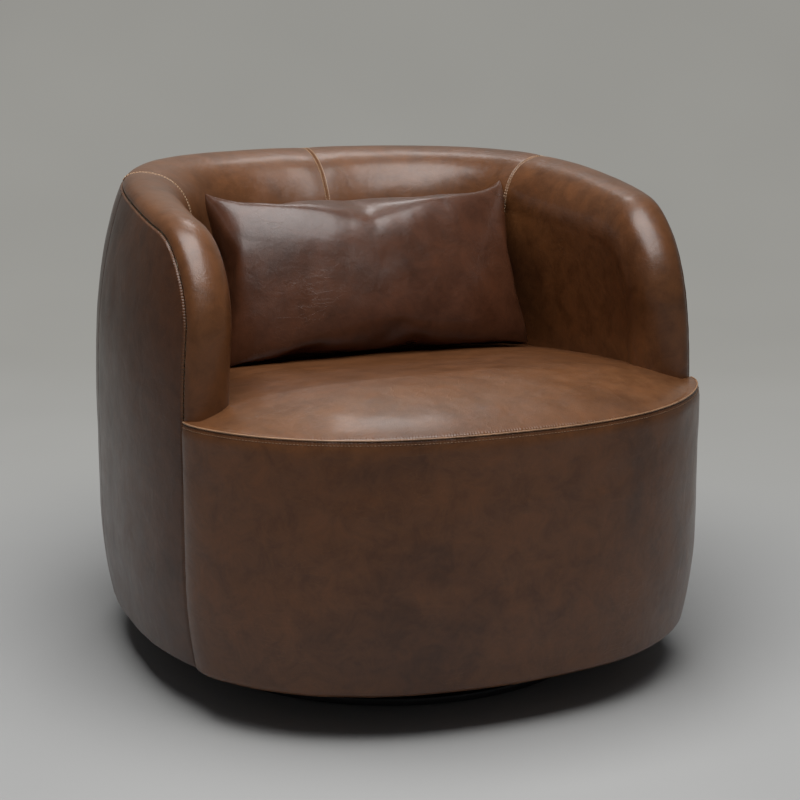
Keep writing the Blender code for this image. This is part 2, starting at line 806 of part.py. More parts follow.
def outer_liner(part, home):
    """Stiff liner behind the outside leather."""
    if part == "back":
        places = back_places(REAR_SEAM - SEAM_GAP, LINER_FOOT, LIP + PAD_GAP)
        places = both_sides(places)
        flip = False
    else:
        places = on_side(arm_places(REAR_SEAM, LINER_FOOT, LIP + PAD_GAP), part)
        flip = part == "left"
    parts = [(outer_points(places, LINER_DEPTH), flip)]
    return sheet(f"outer_liner_{part}", parts, CARD_LOOK, home, LINER)


def wall_grids(part):
    """Places over one part of the wall, its edge and lip stations, and whether to flip it."""
    flip = part == "left"
    if part == "back":
        inner = both_sides(back_places(TOP_SEAM, WALL_FOOT, LIP))
        edge = both_sides([back_stations(TOP_SEAM, 0.0)])[0]
        lip = both_sides([back_stations(TOP_SEAM, LIP)])[0]
    else:
        inner = on_side(arm_places(TOP_SEAM, WALL_FOOT, LIP), part)
        edge = edge_stations(TOP_SEAM, WALL_FOOT, 0.0)
        lip = edge_stations(TOP_SEAM, WALL_FOOT, LIP)
        edge, lip = on_side([edge, lip], part)
    return inner, edge, lip, flip


def wall_solid(home):
    """The padded wall as one closed solid, a running gap larger than the leather."""
    parts = []
    caps = []
    for part in ("right", "back", "left"):
        inner, edge, lip, flip = wall_grids(part)
        face = inner_points(inner, -GAP)
        outside = outer_points(inner, -GAP)
        strip = [section_points(here, low, -GAP) for here, low in zip(edge, lip)]
        parts += [(face, flip), (outside, flip), (strip, flip)]
        if part == "back":
            parts.append(([face[0], outside[0]], flip))
        else:
            parts.append(([[strip[0][-1]] + face[0][1:], [strip[0][0]] + outside[0][1:]], flip))
            caps.append(strip[0])
    points, faces = weld(parts)
    index = {tuple(round(value / WELD) for value in point): number
             for number, point in enumerate(points)}
    for cap in caps:
        faces.append(tuple(index[tuple(round(value / WELD) for value in point)] for point in cap))
    made = mesh_object("wall_cutter", points, faces, FOAM_LOOK, home)
    face_outwards(made)
    return as_cutter(made)


def rib_outline(outline_depth, levels):
    """Side view of a rib: inset from the plan curve and height."""
    outer = []
    inner = []
    for level in levels:
        inset, height, out, up = profile(level)
        outer.append((inset + outline_depth * out, height - outline_depth * up))
        flare = max(1.0 - (level - levels[0]) / RIB_FOOT_RISE, 0.0)
        reach = outline_depth + RIB_DEPTH - RIB_SETBACK
        extra = (RIB_FOOT_REACH - reach) * flare ** 2
        inner.append((inset + reach * out + extra, height - reach * up))
    low = BOARD_TOP + GAP
    outer.insert(0, (outer[0][0] + RIB_FOOT_STEP, low))
    inner.insert(0, (inner[0][0], low))
    return outer + inner[::-1]


def rib(name, outline, distance, depth, levels, home):
    """A plywood rib standing square to the plan curve."""
    x, y, across, along = outline.at(distance)
    side_view = rib_outline(depth, levels)
    made = plate(name, [[(-inset, height) for inset, height in side_view]], 0.0, PLY,
                 PLY_LOOK, home)
    normal = Vector((across, along, 0.0))
    upright = Vector((0.0, 0.0, 1.0))
    turn = Matrix((normal, upright, normal.cross(upright))).transposed()
    made.matrix_world = Matrix.Translation((x, y, 0.0)) @ turn.to_4x4()
    return made


def top_rail(home):
    """Bent plywood rail that the rolled crest sits on, from post to post."""
    stations = []
    for inward in (RAIL_TOP, RAIL_TOP + PLY):
        half = corner_stations(inward)[:CORNER_STEPS] + arm_stations(TOP_SEAM, inward)
        half += back_stations(TOP_SEAM, inward)[1:]
        stations.append(both_sides([half])[0])
    sections = []
    for high, low in zip(*stations):
        section = [on_wall(*high[:2], RAIL_DEPTH), on_wall(*high[:2], FRAME_DEPTH)]
        section += [on_wall(*low[:2], FRAME_DEPTH), on_wall(*low[:2], RAIL_DEPTH)]
        sections.append(section)
    return loft("top_rail", sections, PLY_LOOK, home)


def arm_post(side, home):
    """Upright post in the arm front, under the end of the top rail."""
    sign = side_sign(side)
    front = (ARM_END - LIP - GAP) * sign
    rear = (ARM_END - LIP - GAP - PLY) * sign
    rise = (WALL_FOOT - FOOT_TURN_TOP) / POST_STEPS
    levels = [FOOT_TURN_TOP + rise * step for step in range(POST_STEPS)]
    levels += [station[1] for station in side_stations(WALL_FOOT, LIP + GAP)[:SIDE_ROWS]]
    levels.append(corner_stations(LIP + GAP)[0][1] - GAP)
    sections = []
    for level in levels:
        outside = RAIL_DEPTH + POST_CLEARANCE
        section = [on_wall(front, level, outside), on_wall(front, level, FRAME_DEPTH)]
        section += [on_wall(rear, level, FRAME_DEPTH), on_wall(rear, level, outside)]
        sections.append(section)
    sections.insert(0, [Vector((point.x, point.y, BOARD_TOP + GAP)) for point in sections[0]])
    return loft(f"arm_post_{side}", sections, PLY_LOOK, home)


def wall_ribs(home):
    stops = [arm_stations(TOP_SEAM, 0.0)[-3][0], TOP_SEAM]
    stops += [TOP_SEAM * (1 - column / BACK_COLUMNS) for column in RIB_COLUMNS]
    stops = stops + [-stop for stop in stops[::-1] if stop > 0]
    for number, stop in enumerate(stops, 1):
        top = edge_level(stop, RAIL_TOP + PLY) - RIB_TOP_GAP
        rise = (WALL_FOOT - FOOT_TURN_TOP) / RIB_FOOT_LEVELS
        levels = [FOOT_TURN_TOP + rise * step for step in range(RIB_FOOT_LEVELS)]
        rise = (top - WALL_FOOT) / RIB_LEVELS
        levels += [WALL_FOOT + rise * step for step in range(RIB_LEVELS + 1)]
        rib(f"wall_rib_{number}", SHELL, stop, RAIL_DEPTH, levels, home)


def front_ribs(home):
    stops = border_stops()
    levels = border_levels(LINER_FOOT, FRONT_FOAM_TOP)[:BORDER_ROWS] + [SEAT_RING_FOOT - GAP]
    for number, column in enumerate(FRONT_RIB_COLUMNS, 1):
        rib(f"front_rib_{number}", FRONT, stops[column], FRONT_STACK + FRONT_RIB_CLEARANCE,
            levels, home)


def border_draw(distance):
    """How far the front is drawn in near the seam where it meets an arm."""
    ahead = abs(distance) - BORDER_END
    return BORDER_END_DRAW * math.exp(-ahead / BORDER_END_RUN)


def border_point(distance, level, depth):
    """Point of the front border at a depth, drawn in where it meets the arms."""
    x, y, across, along = FRONT.at(distance)
    inset, height, out, up = profile(level)
    inset += border_draw(distance)
    turn = max((level - SEAT_SEAM_Z) / BORDER_TURN_HEIGHT + 1, 0.0)
    inset += BORDER_TURN * turn ** 2
    if level > TOP_LEAN_START:
        inset -= profile(level)[0]
        out = 1.0
        up = 0.0
    reach = inset + depth * out
    return Vector((x - across * reach, y - along * reach, height - depth * up))


def border_levels(foot, top):
    return [foot + (top - foot) * row / BORDER_ROWS for row in range(BORDER_ROWS + 1)]


def border_grid(levels, depth):
    return [[border_point(stop, level, depth) for stop in border_stops()] for level in levels]


def front_border(home):
    """Padded leather round the front, from arm to arm."""
    levels = foot_levels() + border_levels(LINER_FOOT, FRONT_FOAM_TOP)
    levels += [TOP_LEAN_START, SEAT_SEAM_Z - BORDER_TURN_HEIGHT, SEAT_SEAM_Z]
    parts = [(border_grid(levels, 0.0), True)]
    return sheet("front_border", parts, LEATHER_LOOK, home, LEATHER)


def front_padding(home):
    """Foam and curved board behind the front border."""
    levels = border_levels(LINER_FOOT, FRONT_FOAM_TOP)
    depth = LEATHER + GAP
    block("front_foam", border_grid(levels, depth), border_grid(levels, depth + FRONT_FOAM),
          FOAM_LOOK, home)
    depth += FRONT_FOAM + GAP
    block("front_board", border_grid(levels, depth), border_grid(levels, depth + FRONT_BOARD),
          PLY_LOOK, home)


def bottom_board(home, cutters):
    """Plywood base of the body, its lower edge bevelled to clear the turned-under leather."""
    rings = []
    for height, inset in ((BOARD_FOOT, BOARD_INSET), (BOARD_FOOT + BOARD_EDGE, BOARD_MID_INSET),
                          (BOARD_TOP, BOARD_TOP_INSET)):
        outline = plan_outline(inset, inset)
        rings.append([Vector((x, y, height)) for x, y in outline])
    made = loft("bottom_board", rings, PLY_LOOK, home)
    hole = cylinder("board_hole", BOARD_HOLE_RADIUS, BOARD_FOOT - OVERRUN, BOARD_TOP + OVERRUN,
                    0.0, 0.0, PLY_LOOK, cutters)
    cut(made, as_cutter(hole))


def seat_ring(home):
    """Plywood ring that carries the springs and the padded wall."""
    outside = plan_outline(FRAME_DEPTH + GAP, FRONT_STACK + GAP)
    inside = plan_outline(RING_ARM_DEPTH, RING_FRONT_INSET, RING_BACK_EXTRA)
    plate("seat_ring", [outside, inside], SEAT_RING_FOOT, PLY, PLY_LOOK, home)


def reach_back(x, depth):
    """The y of the back's plan curve, moved in by a depth, at a given x."""
    stops = np.linspace(0.0, REAR_SEAM, REACH_STEPS)
    places = [SHELL.at(stop) for stop in stops]
    across = [place[0] - place[2] * depth for place in places]
    along = [place[1] - place[3] * depth for place in places]
    return float(np.interp(abs(x), across, along))


def reach_front(x, depth):
    """The y of the front's plan curve, moved in by a depth, at a given x."""
    stops = np.linspace(FRONT.half_length(), BORDER_END, REACH_STEPS)
    places = [FRONT.at(stop) for stop in stops]
    across = [place[0] - place[2] * depth for place in places]
    along = [place[1] - place[3] * depth for place in places]
    return float(np.interp(abs(x), across, along))


def seat_springs(home):
    """Sinuous springs from the front of the seat ring to its rear."""
    for number, x in enumerate(SPRING_X, 1):
        back = reach_back(x, RING_ARM_DEPTH + RING_BACK_EXTRA - SPRING_SEAT)
        front = reach_front(x, RING_FRONT_INSET - SPRING_SEAT)
        half_waves = 2 * SPRING_LOOPS
        points = []
        for step in range(half_waves * SPRING_STEPS + 1):
            share = step / (half_waves * SPRING_STEPS)
            fade = min(share, 1 - share) * half_waves
            swing = SPRING_LOOP_HALF * min(fade, 1.0)
            wave = math.sin(math.pi * share * half_waves)
            points.append((x + swing * wave, front + (back - front) * share, SPRING_Z))
        curve = bpy.data.curves.new(f"seat_spring_{number}", "CURVE")
        curve.dimensions = "3D"
        curve.bevel_depth = SPRING_WIRE_RADIUS
        curve.bevel_resolution = 1
        curve.use_fill_caps = True
        spline = curve.splines.new("POLY")
        spline.points.add(len(points) - 1)
        for point, place in zip(spline.points, points):
            point.co = (*place, 1.0)
        curve.materials.append(material(f"seat_spring_{number}", *STEEL_LOOK))
        made = bpy.data.objects.new(f"seat_spring_{number}", curve)
        home.objects.link(made)


def seat_level(x, y):
    """Height of the seat's leather above the floor."""
    reach = SEAT_BACK_REACH if y > SEAT_CENTRE_Y else FRONT_REACH + SEAT_CENTRE_Y
    across = abs(x / SEAT_HALF_WIDTH) ** FRONT_POWER_SHARE
    along = abs((y - SEAT_CENTRE_Y) / reach) ** FRONT_POWER_SHARE
    share = min((across + along) ** (1 / FRONT_POWER_SHARE), 1.0)
    crown = SEAT_CROWN * (1 - share ** SEAT_CROWN_POWER_SHARE)
    run = min(max((y - SEAT_DROP_START_Y) / SEAT_DROP_RUN, 0.0), 1.0)
    return SEAT_SEAM_Z + GAP + LEATHER + crown - SEAT_BACK_DROP * run


def seat_rings(front_inset, lower):
    """Rings of points over the seat's crown, from its edge to near its middle."""
    outline = plan_outline(SEAT_UNDER_WALL, front_inset)
    rings = []
    for share in SEAT_RING_SHARES:
        ring = []
        for x, y in outline:
            px = x * share
            py = SEAT_CENTRE_Y + (y - SEAT_CENTRE_Y) * share
            ring.append(Vector((px, py, seat_level(px, py) - lower)))
        rings.append(ring)
    return rings


def seat_foam(home, cutter):
    """Crowned foam of the fixed seat."""
    lower = LEATHER + SEAM_GAP
    rings = seat_rings(BORDER_TURN + LEATHER + GAP, lower)[:1]
    rings += seat_rings(BORDER_TURN + GAP, lower)[1:]
    foot = [Vector((point.x, point.y, SEAT_FOAM_FOOT)) for point in rings[0]]
    made = loft("seat_foam", [foot] + rings, FOAM_LOOK, home)
    cut(made, cutter)


def seat_top_cover(home, cutter):
    """Leather over the seat's crown."""
    rings = seat_rings(BORDER_TURN + GAP, 0.0)
    grid = [ring + ring[:1] for ring in rings]
    points, faces = weld([(grid, True)])
    faces.append(tuple(range(len(points) - len(rings[0]), len(points)))[::-1])
    made = mesh_object("seat_top_cover", points, faces, LEATHER_LOOK, home)
    solid = made.modifiers.new("Thickness", "SOLIDIFY")
    solid.thickness = LEATHER
    solid.offset = -1.0
    cut(made, cutter)


def deck_cloth(home, cutter):
    """Cloth over the springs, under the seat foam."""
    outline = plan_outline(SEAT_UNDER_WALL, RING_FRONT_INSET - SPRING_SEAT - SPRING_LOOP_HALF)
    rings = [[Vector((x, y, height)) for x, y in outline]
             for height in (DECK_FOOT, DECK_FOOT + DECK_THICK)]
    made = loft("deck_cloth", rings, DECK_LOOK, home)
    cut(made, cutter)


def dust_cover(home):
    """Thin cloth under the body, open round the swivel."""
    top = BOARD_FOOT - GAP
    outline = plan_outline(DUST_COVER_INSET, DUST_COVER_INSET)
    plate("dust_cover", [outline, circle(DUST_HOLE_RADIUS)], top - DUST_COVER, DUST_COVER,
          CLOTH_LOOK, home)


def floor_glides(home):
    for number in range(1, GLIDE_COUNT + 1):
        turn = 2 * math.pi * (number - 1) / GLIDE_COUNT + math.pi / 2
        cylinder(f"floor_glide_{number}", GLIDE_RADIUS, 0.0, GLIDE_TOP,
                 GLIDE_CIRCLE * math.cos(turn), GLIDE_CIRCLE * math.sin(turn), RUBBER_LOOK, home,
                 2 * SMALL_SIDES)


def base_plinth(home):
    """Round disc on the floor, its rim rounded."""
    edge = PLINTH_EDGE_ROUND
    outline = [(0.0, PLINTH_TOP), (PLINTH_RADIUS - edge, PLINTH_TOP),
               (PLINTH_RADIUS - edge * ROUND_SHARE, PLINTH_TOP - edge * ROUND_SHARE),
               (PLINTH_RADIUS, PLINTH_TOP - edge), (PLINTH_RADIUS, PLINTH_FOOT),
               (0.0, PLINTH_FOOT)]
    turned("base_plinth", outline, BLACK_LOOK, home, 2 * ROUND_SIDES)
    outline = [(0.0, RISER_TOP), (RISER_RADIUS, RISER_TOP), (RISER_RADIUS, RISER_FOOT),
               (0.0, RISER_FOOT)]
    turned("plinth_riser", outline, BLACK_LOOK, home)


def swivel(home):
    """Two plates, a ball cage between them and the pivot bolt that holds them together."""
    for name, foot, top in (("swivel_lower_plate", LOWER_PLATE_FOOT, LOWER_PLATE_TOP),
                            ("swivel_upper_plate", UPPER_PLATE_FOOT, UPPER_PLATE_TOP)):
        outline = [(PLATE_HOLE_RADIUS, top), (PLATE_RADIUS, top), (PLATE_RADIUS, foot),
                   (PLATE_HOLE_RADIUS, foot)]
        turned(name, outline, STEEL_LOOK, home)
    head_foot = UPPER_PLATE_TOP + GAP
    head_top = head_foot + PIVOT_HEAD_HEIGHT
    outline = [(0.0, head_top), (PIVOT_HEAD_RADIUS, head_top), (PIVOT_HEAD_RADIUS, head_foot),
               (PIVOT_RADIUS, head_foot), (PIVOT_RADIUS, LOWER_PLATE_FOOT),
               (0.0, LOWER_PLATE_FOOT)]
    turned("pivot_bolt", outline, STEEL_LOOK, home, 2 * SMALL_SIDES)


def ball_cage(home, cutters):
    """Cage ring with its balls, which roll between the plates."""
    low = BALL_Z - CAGE_THICK / 2
    high = BALL_Z + CAGE_THICK / 2
    inside = BALL_CIRCLE - CAGE_HALF_WIDTH
    outside = BALL_CIRCLE + CAGE_HALF_WIDTH
    outline = [(inside, high), (outside, high), (outside, low), (inside, low)]
    cage = turned("ball_cage", outline, STEEL_LOOK, home)
    for number in range(BALL_COUNT):
        turn = 2 * math.pi * (number + BALL_TURN_SHARE) / BALL_COUNT
        place = (BALL_CIRCLE * math.cos(turn), BALL_CIRCLE * math.sin(turn), BALL_Z)
        bpy.ops.mesh.primitive_uv_sphere_add(segments=BALL_SIDES, ring_count=BALL_SIDES // 2,
                                             radius=BALL_RADIUS, location=place)
        ball = as_cutter(adopt(f"ball_{number}", STEEL_LOOK, cutters))
        joined = cage.modifiers.new(ball.name, "BOOLEAN")
        joined.operation = "UNION"
        joined.object = ball
        joined.solver = "EXACT"


def fasteners(home):
    """Bolts through the upper plate into the board, screws through the lower into the riser."""
    for number in range(1, BOLT_COUNT + 1):
        turn = 2 * math.pi * (number - 1) / BOLT_COUNT
        x = BOLT_CIRCLE * math.cos(turn)
        y = BOLT_CIRCLE * math.sin(turn)
        foot = UPPER_PLATE_FOOT - BOLT_HEAD_HEIGHT - GAP
        cylinder(f"upper_bolt_{number}", BOLT_HEAD_RADIUS, foot, foot + BOLT_HEAD_HEIGHT, x, y,
                 STEEL_LOOK, home, SMALL_SIDES)
    for number in range(1, SCREW_COUNT + 1):
        turn = 2 * math.pi * (number - 1) / SCREW_COUNT + math.pi / 2
        foot = LOWER_PLATE_TOP + GAP
        cylinder(f"lower_screw_{number}", BOLT_HEAD_RADIUS, foot, foot + BOLT_HEAD_HEIGHT,
                 SCREW_CIRCLE * math.cos(turn), SCREW_CIRCLE * math.sin(turn), STEEL_LOOK, home,
                 SMALL_SIDES)


def pillow_point(u, v, side):
    """Point of the pillow in its own frame: x across, y its thickness, z up its face."""
    draw_x = PILLOW_SIDE_DRAW * (1 - v ** 2)
    draw_z = PILLOW_SIDE_DRAW * (1 - u ** 2)
    x = u * (PILLOW_WIDTH / 2 - draw_x)
    z = v * (PILLOW_HEIGHT / 2 - draw_z)
    fill = ((1 - u ** 4) * (1 - v ** 4)) ** PILLOW_FILL_SHARE
    return Vector((x, side * PILLOW_THICK / 2 * fill, z + PILLOW_HEIGHT / 2))


def lumbar_pillow(home):
    """Loose pillow: crowned faces that meet in one seam, sides drawn in between corners."""
    parts = []
    for side in (-1, 1):
        grid = []
        for row in range(PILLOW_ROWS + 1):
            v = -math.cos(math.pi * row / PILLOW_ROWS)
            line = []
            for column in range(PILLOW_COLUMNS + 1):
                u = -math.cos(math.pi * column / PILLOW_COLUMNS)
                line.append(pillow_point(u, v, side))
            grid.append(line)
        parts.append((grid, side > 0))
    made = mesh_object("lumbar_pillow", *weld(parts), PILLOW_LOOK, home)
    face_outwards(made)
    lean = Matrix.Rotation(math.radians(-PILLOW_LEAN_DEGREES), 4, "X")
    foot = (PILLOW_X, BODY_BACK_REACH - PILLOW_SETBACK, SEAT_SEAM_Z + PILLOW_LIFT)
    place = Matrix.Translation(foot)
    made.matrix_world = place @ lean


def build():
    clear_scene()
    home = new_collection(NAME)
    cutters = new_collection("cutters")
    floor_glides(home)
    base_plinth(home)
    swivel(home)
    ball_cage(home, cutters)
    fasteners(home)
    bottom_board(home, cutters)
    dust_cover(home)
    wall_ribs(home)
    front_ribs(home)
    for side in ("left", "right"):
        arm_post(side, home)
    top_rail(home)
    seat_ring(home)
    seat_springs(home)
    wall = wall_solid(cutters)
    deck_cloth(home, wall)
    seat_foam(home, wall)
    seat_top_cover(home, wall)
    front_padding(home)
    front_border(home)
    for part in ("left", "back", "right"):
        roll_foam(part, home)
        inner_pad(part, home)
        outer_liner(part, home)
    for side in ("left", "right"):
        outside_arm_panel(side, home)
        arm_facing(side, home)
        inside_back(side, home)
    outside_back_panel(home)
    lumbar_pillow(home)
    bpy.context.view_layer.update()


build()
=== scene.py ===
"""Looks of the leather swivel armchair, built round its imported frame. Lengths are metres."""
import math

import bmesh
import bpy
import numpy as np
from mathutils import Matrix, Vector, kdtree, noise


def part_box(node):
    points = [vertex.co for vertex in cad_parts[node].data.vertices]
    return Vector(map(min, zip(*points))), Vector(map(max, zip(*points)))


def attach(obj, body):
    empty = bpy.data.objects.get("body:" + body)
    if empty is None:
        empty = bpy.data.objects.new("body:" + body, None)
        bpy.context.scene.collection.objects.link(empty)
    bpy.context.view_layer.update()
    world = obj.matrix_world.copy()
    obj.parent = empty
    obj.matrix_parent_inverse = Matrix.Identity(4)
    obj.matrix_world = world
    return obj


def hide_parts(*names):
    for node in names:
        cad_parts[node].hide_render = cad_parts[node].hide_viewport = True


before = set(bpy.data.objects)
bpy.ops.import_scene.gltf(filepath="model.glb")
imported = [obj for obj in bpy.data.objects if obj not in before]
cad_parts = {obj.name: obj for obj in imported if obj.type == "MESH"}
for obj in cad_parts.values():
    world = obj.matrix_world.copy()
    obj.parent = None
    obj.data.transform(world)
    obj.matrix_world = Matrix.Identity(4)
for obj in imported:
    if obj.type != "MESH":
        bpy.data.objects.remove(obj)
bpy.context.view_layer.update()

# Body outline, as in the CAD model
BODY_HALF_WIDTH = 0.4315
BODY_BACK_REACH = 0.4635
BODY_SIDE_REACH = 0.4446
BODY_POWER = 2.42
FRONT_HALF_WIDTH = 0.4419
FRONT_REACH = 0.4560
FRONT_POWER = 2.454
BODY_HEIGHT = 0.7251
BODY_FOOT = 0.0545
FOOT_TURN_HEIGHT = 0.0242
FOOT_TURN_REACH = 0.0800
FOOT_DRAW = 0.0200
FOOT_DRAW_TOP = 0.2100
TOP_LEAN = 0.0498
TOP_LEAN_START = 0.3425
TOP_LEAN_END = 0.7090
TOP_LEAN_POWER = 2.91
ARM_DROP = 0.0556
ARM_DROP_POWER = 2.2515
ROLL_HALF_THICK = 0.0422
ROLL_RISE = 0.0296
ROLL_BACK_EXTRA = 0.0259
ARM_FRONT_Y = -0.2370
ARM_CORNER_RADIUS = 0.1137
CREST_HANDLE = 0.513
FACE_HANDLE = 0.494
PAD_EXTRA_THICK = 0.1200
PAD_SWELL_RUN = 0.0950
PAD_EASE = 0.45
REAR_SEAM_Y = 0.1050
TOP_SEAM_Y = 0.1985
SEAM_GAP = 0.0009
LEATHER = 0.0015
GAP = 0.0003
LIP = 0.0350
WALL_FOOT = 0.3303
LINER_FOOT = 0.0855
SEAT_SEAM_Z = 0.4262
SEAT_CROWN = 0.0360
SEAT_CROWN_POWER = 4.0
SEAT_BACK_DROP = 0.0480
SEAT_DROP_START_Y = -0.2330
SEAT_DROP_RUN = 0.4830
SEAT_CENTRE_Y = -0.0800
SEAT_HALF_WIDTH = 0.3920
SEAT_BACK_REACH = 0.5000
BORDER_END_Y = -0.2460
BORDER_TURN = 0.0040
BORDER_TURN_HEIGHT = 0.0180
BORDER_END_DRAW = 0.0085
BORDER_END_RUN = 0.0180
FRAME_DEPTH = 0.0452
PILLOW_WIDTH = 0.5020
PILLOW_HEIGHT = 0.2730
PILLOW_THICK = 0.1500
PILLOW_FILL = 0.55
PILLOW_PLACE = (0.0110, 0.0580, 0.4310)
PILLOW_LEAN = math.radians(-23.5)

# How finely the panels are meshed
PLAN_STEPS = 4000
SIDE_STEPS = 30
LOW_STEPS = 26
CORNER_STEPS = 16
ARM_STEPS = 60
BACK_STEPS = 80
OUTSIDE_STEPS = 150
BORDER_STEPS = 170
SEAM_EDGE_STEPS = 240
SEAT_REAR_STEPS = 220
SEAT_RINGS = 56
CREST_STEPS = 14
FALL_STEPS = 20
WELD = 0.000002
NEAR_SEAM = (0.0, 0.0006, 0.0012, 0.0019, 0.0028, 0.0040, 0.0056, 0.0078, 0.0108)

# Camera fitted to the photograph
CAMERA_LENS = 85.0508
CAMERA_PLACE = (-1.0192, -2.6343, 1.0280)
CAMERA_RIGHT = (0.93039, -0.36659, 0.0)
CAMERA_UP = (0.08285, 0.21027, 0.97414)
CAMERA_BACK = (-0.35711, -0.90632, 0.22600)
# Painted light falloff of the glowing backdrop: lighter near the chair, darker far off and up,
# darker still to the sides and front.
STAGE_PAINTED_FALLOFF = ((0.0, (0.475,) * 3), (0.25, (0.42, 0.42, 0.41)), (0.55, (0.335, 0.33, 0.31)),
               (1.0, (0.295, 0.29, 0.27)))
FLOOR_TONE = (0.42, 0.42, 0.415, 1.0)
STAGE_EDGE_PAINTED_SHADE = 0.48
STAGE_DEPTH = (-1.5, 5.0)
STAGE_SKEW = 0.08
STAGE_CLIMB = 0.35
FLOOR_SPECULAR = 0.1
SIDE_FADE = (1.3, 2.7)
FRONT_FADE = (0.85, 1.9)
LIT_FLOOR = (0.50, 1.30)
STAGE_FRONT = -8.0
STAGE_BEND = 2.2
BEND_START = 0.1
BEND_STEPS = 16
STAGE_RADIUS = 2.0
STAGE_HEIGHT = 9.0
STAGE_HALF_WIDTH = 9.0
WORLD_TONE = (0.95, 0.97, 1.0, 1.0)
WORLD_STRENGTH = 0.085
LAMPS = (("overhead", (-0.28, -0.70, 2.7), (-0.28, -0.70, 0.0), (2.00, 2.40), 92.0),
         ("rear", (0.80, 2.00, 2.85), (0.0, -0.40, 0.45), (0.7, 0.5), 6.5))


# Plan curves and wall sections


class Outline:
    """A plan curve of two half superellipses, walked by arc length from its rear middle."""

    def __init__(self, half_width, back_reach, front_reach, power):
        self.half_width = half_width
        self.back_reach = back_reach
        self.front_reach = front_reach
        self.power = power
        self.angles = np.linspace(0.0, math.pi, PLAN_STEPS)
        x, y = self.point(self.angles)
        steps = np.hypot(np.diff(x), np.diff(y))
        self.lengths = np.concatenate([[0.0], np.cumsum(steps)])

    def point(self, angles):
        sine = np.abs(np.sin(angles)) ** (2 / self.power)
        cosine = np.abs(np.cos(angles)) ** (2 / self.power)
        reach = np.where(np.cos(angles) > 0, self.back_reach, -self.front_reach)
        return self.half_width * sine, reach * cosine

    def at(self, distance):
        """Points and outward normals at signed distances from the rear middle."""
        distance = np.asarray(distance, float)
        side = np.where(distance >= 0, 1.0, -1.0)
        angle = np.interp(np.abs(distance), self.lengths, self.angles)
        x, y = self.point(angle)
        reach = np.where(y > 0, self.back_reach, self.front_reach)
        across = (x / self.half_width) ** (self.power - 1) / self.half_width
        along = np.copysign((np.abs(y) / reach) ** (self.power - 1) / reach, y)
        size = np.hypot(across, along)
        return side * x, y, side * across / size, along / size

    def inset(self, distance, reach):
        """Points of the curve moved inward by a reach."""
        x, y, across, along = self.at(distance)
        return np.stack([x - across * reach, y - along * reach], -1)

    def distance_at_y(self, y):
        _, heights = self.point(self.angles)
        return float(np.interp(-y, -heights, self.lengths))


SHELL = Outline(BODY_HALF_WIDTH, BODY_BACK_REACH, BODY_SIDE_REACH, BODY_POWER)
FRONT = Outline(FRONT_HALF_WIDTH, FRONT_REACH, FRONT_REACH, FRONT_POWER)
ARM_END = SHELL.distance_at_y(ARM_FRONT_Y)
REAR_SEAM = SHELL.distance_at_y(REAR_SEAM_Y)
TOP_SEAM = SHELL.distance_at_y(TOP_SEAM_Y)
BORDER_END = FRONT.distance_at_y(BORDER_END_Y)
FOOT_TURN_TOP = BODY_FOOT + FOOT_TURN_HEIGHT


def profile(level):
    """Insets from the plan curve, heights, and outward and upward parts of the normals."""
    level = np.asarray(level, float)
    draw_run, lean_run = FOOT_DRAW_TOP - BODY_FOOT, TOP_LEAN_END - TOP_LEAN_START
    low = np.maximum((FOOT_DRAW_TOP - np.maximum(level, FOOT_TURN_TOP)) / draw_run, 0.0)
    high = np.maximum((level - TOP_LEAN_START) / lean_run, 0.0)
    inset = FOOT_DRAW * low ** 2 + TOP_LEAN * high ** TOP_LEAN_POWER
    slope = TOP_LEAN_POWER * TOP_LEAN * high ** (TOP_LEAN_POWER - 1) / lean_run
    slope = slope - 2 * FOOT_DRAW * low / draw_run
    turn = np.clip((FOOT_TURN_TOP - level) / FOOT_TURN_HEIGHT, 0.0, 1.0) * math.pi / 2
    under = level < FOOT_TURN_TOP
    inset = inset + np.where(under, FOOT_TURN_REACH * (1 - np.cos(turn)), 0.0)
    height = np.where(under, FOOT_TURN_TOP - FOOT_TURN_HEIGHT * np.sin(turn), level)
    out = np.where(under, np.cos(turn) / FOOT_TURN_REACH, 1.0)
    up = np.where(under, -np.sin(turn) / FOOT_TURN_HEIGHT, slope)
    size = np.hypot(out, up)
    return inset, height, out / size, up / size


def on_wall(distance, level, depth):
    """Points of the shell at depths under its outer surface, along the normals."""
    x, y, across, along = SHELL.at(distance)
    inset, height, out, up = profile(level)
    reach = inset + depth * out
    return np.stack([x - across * reach, y - along * reach, height - depth * up], -1)


def crest_drop(distance):
    y = SHELL.at(distance)[1]
    share = np.maximum((BODY_BACK_REACH - y) / (BODY_BACK_REACH - ARM_FRONT_Y), 0.0)
    return ARM_DROP * share ** ARM_DROP_POWER


def rearward(distance):
    return np.maximum(1 - np.abs(distance) / ARM_END, 0.0)


def roll_half(distance):
    return ROLL_HALF_THICK + ROLL_BACK_EXTRA * rearward(distance)


def roll_start(distance):
    _, _, out, up = profile(BODY_HEIGHT - ROLL_RISE)
    half = roll_half(distance)
    drop = np.hypot(half * up, ROLL_RISE * out) - half * up
    return BODY_HEIGHT - drop - crest_drop(distance)


def edge_level(distance, inward=0.0):
    radius = ARM_CORNER_RADIUS - inward
    past = np.maximum(np.abs(distance) - (ARM_END - ARM_CORNER_RADIUS), 0.0)
    turned = np.sqrt(np.maximum(radius ** 2 - past ** 2, 0.0)) - radius
    return roll_start(distance) - inward + turned


def wall_thickness(distance, level):
    """Thickness of the padded wall, with a soft start under the rolled edge."""
    top = edge_level(distance)
    down = np.maximum(top - level, 0.0)
    swell = 1 - np.exp(-down / PAD_SWELL_RUN)
    ease = 1 - PAD_EASE * np.minimum(down / (top - SEAT_SEAM_Z), 1.0) ** 2
    extra = PAD_EXTRA_THICK * rearward(distance)
    return 2 * roll_half(distance) + extra * swell * ease


# Lines of stations: columns of distance, level and turn


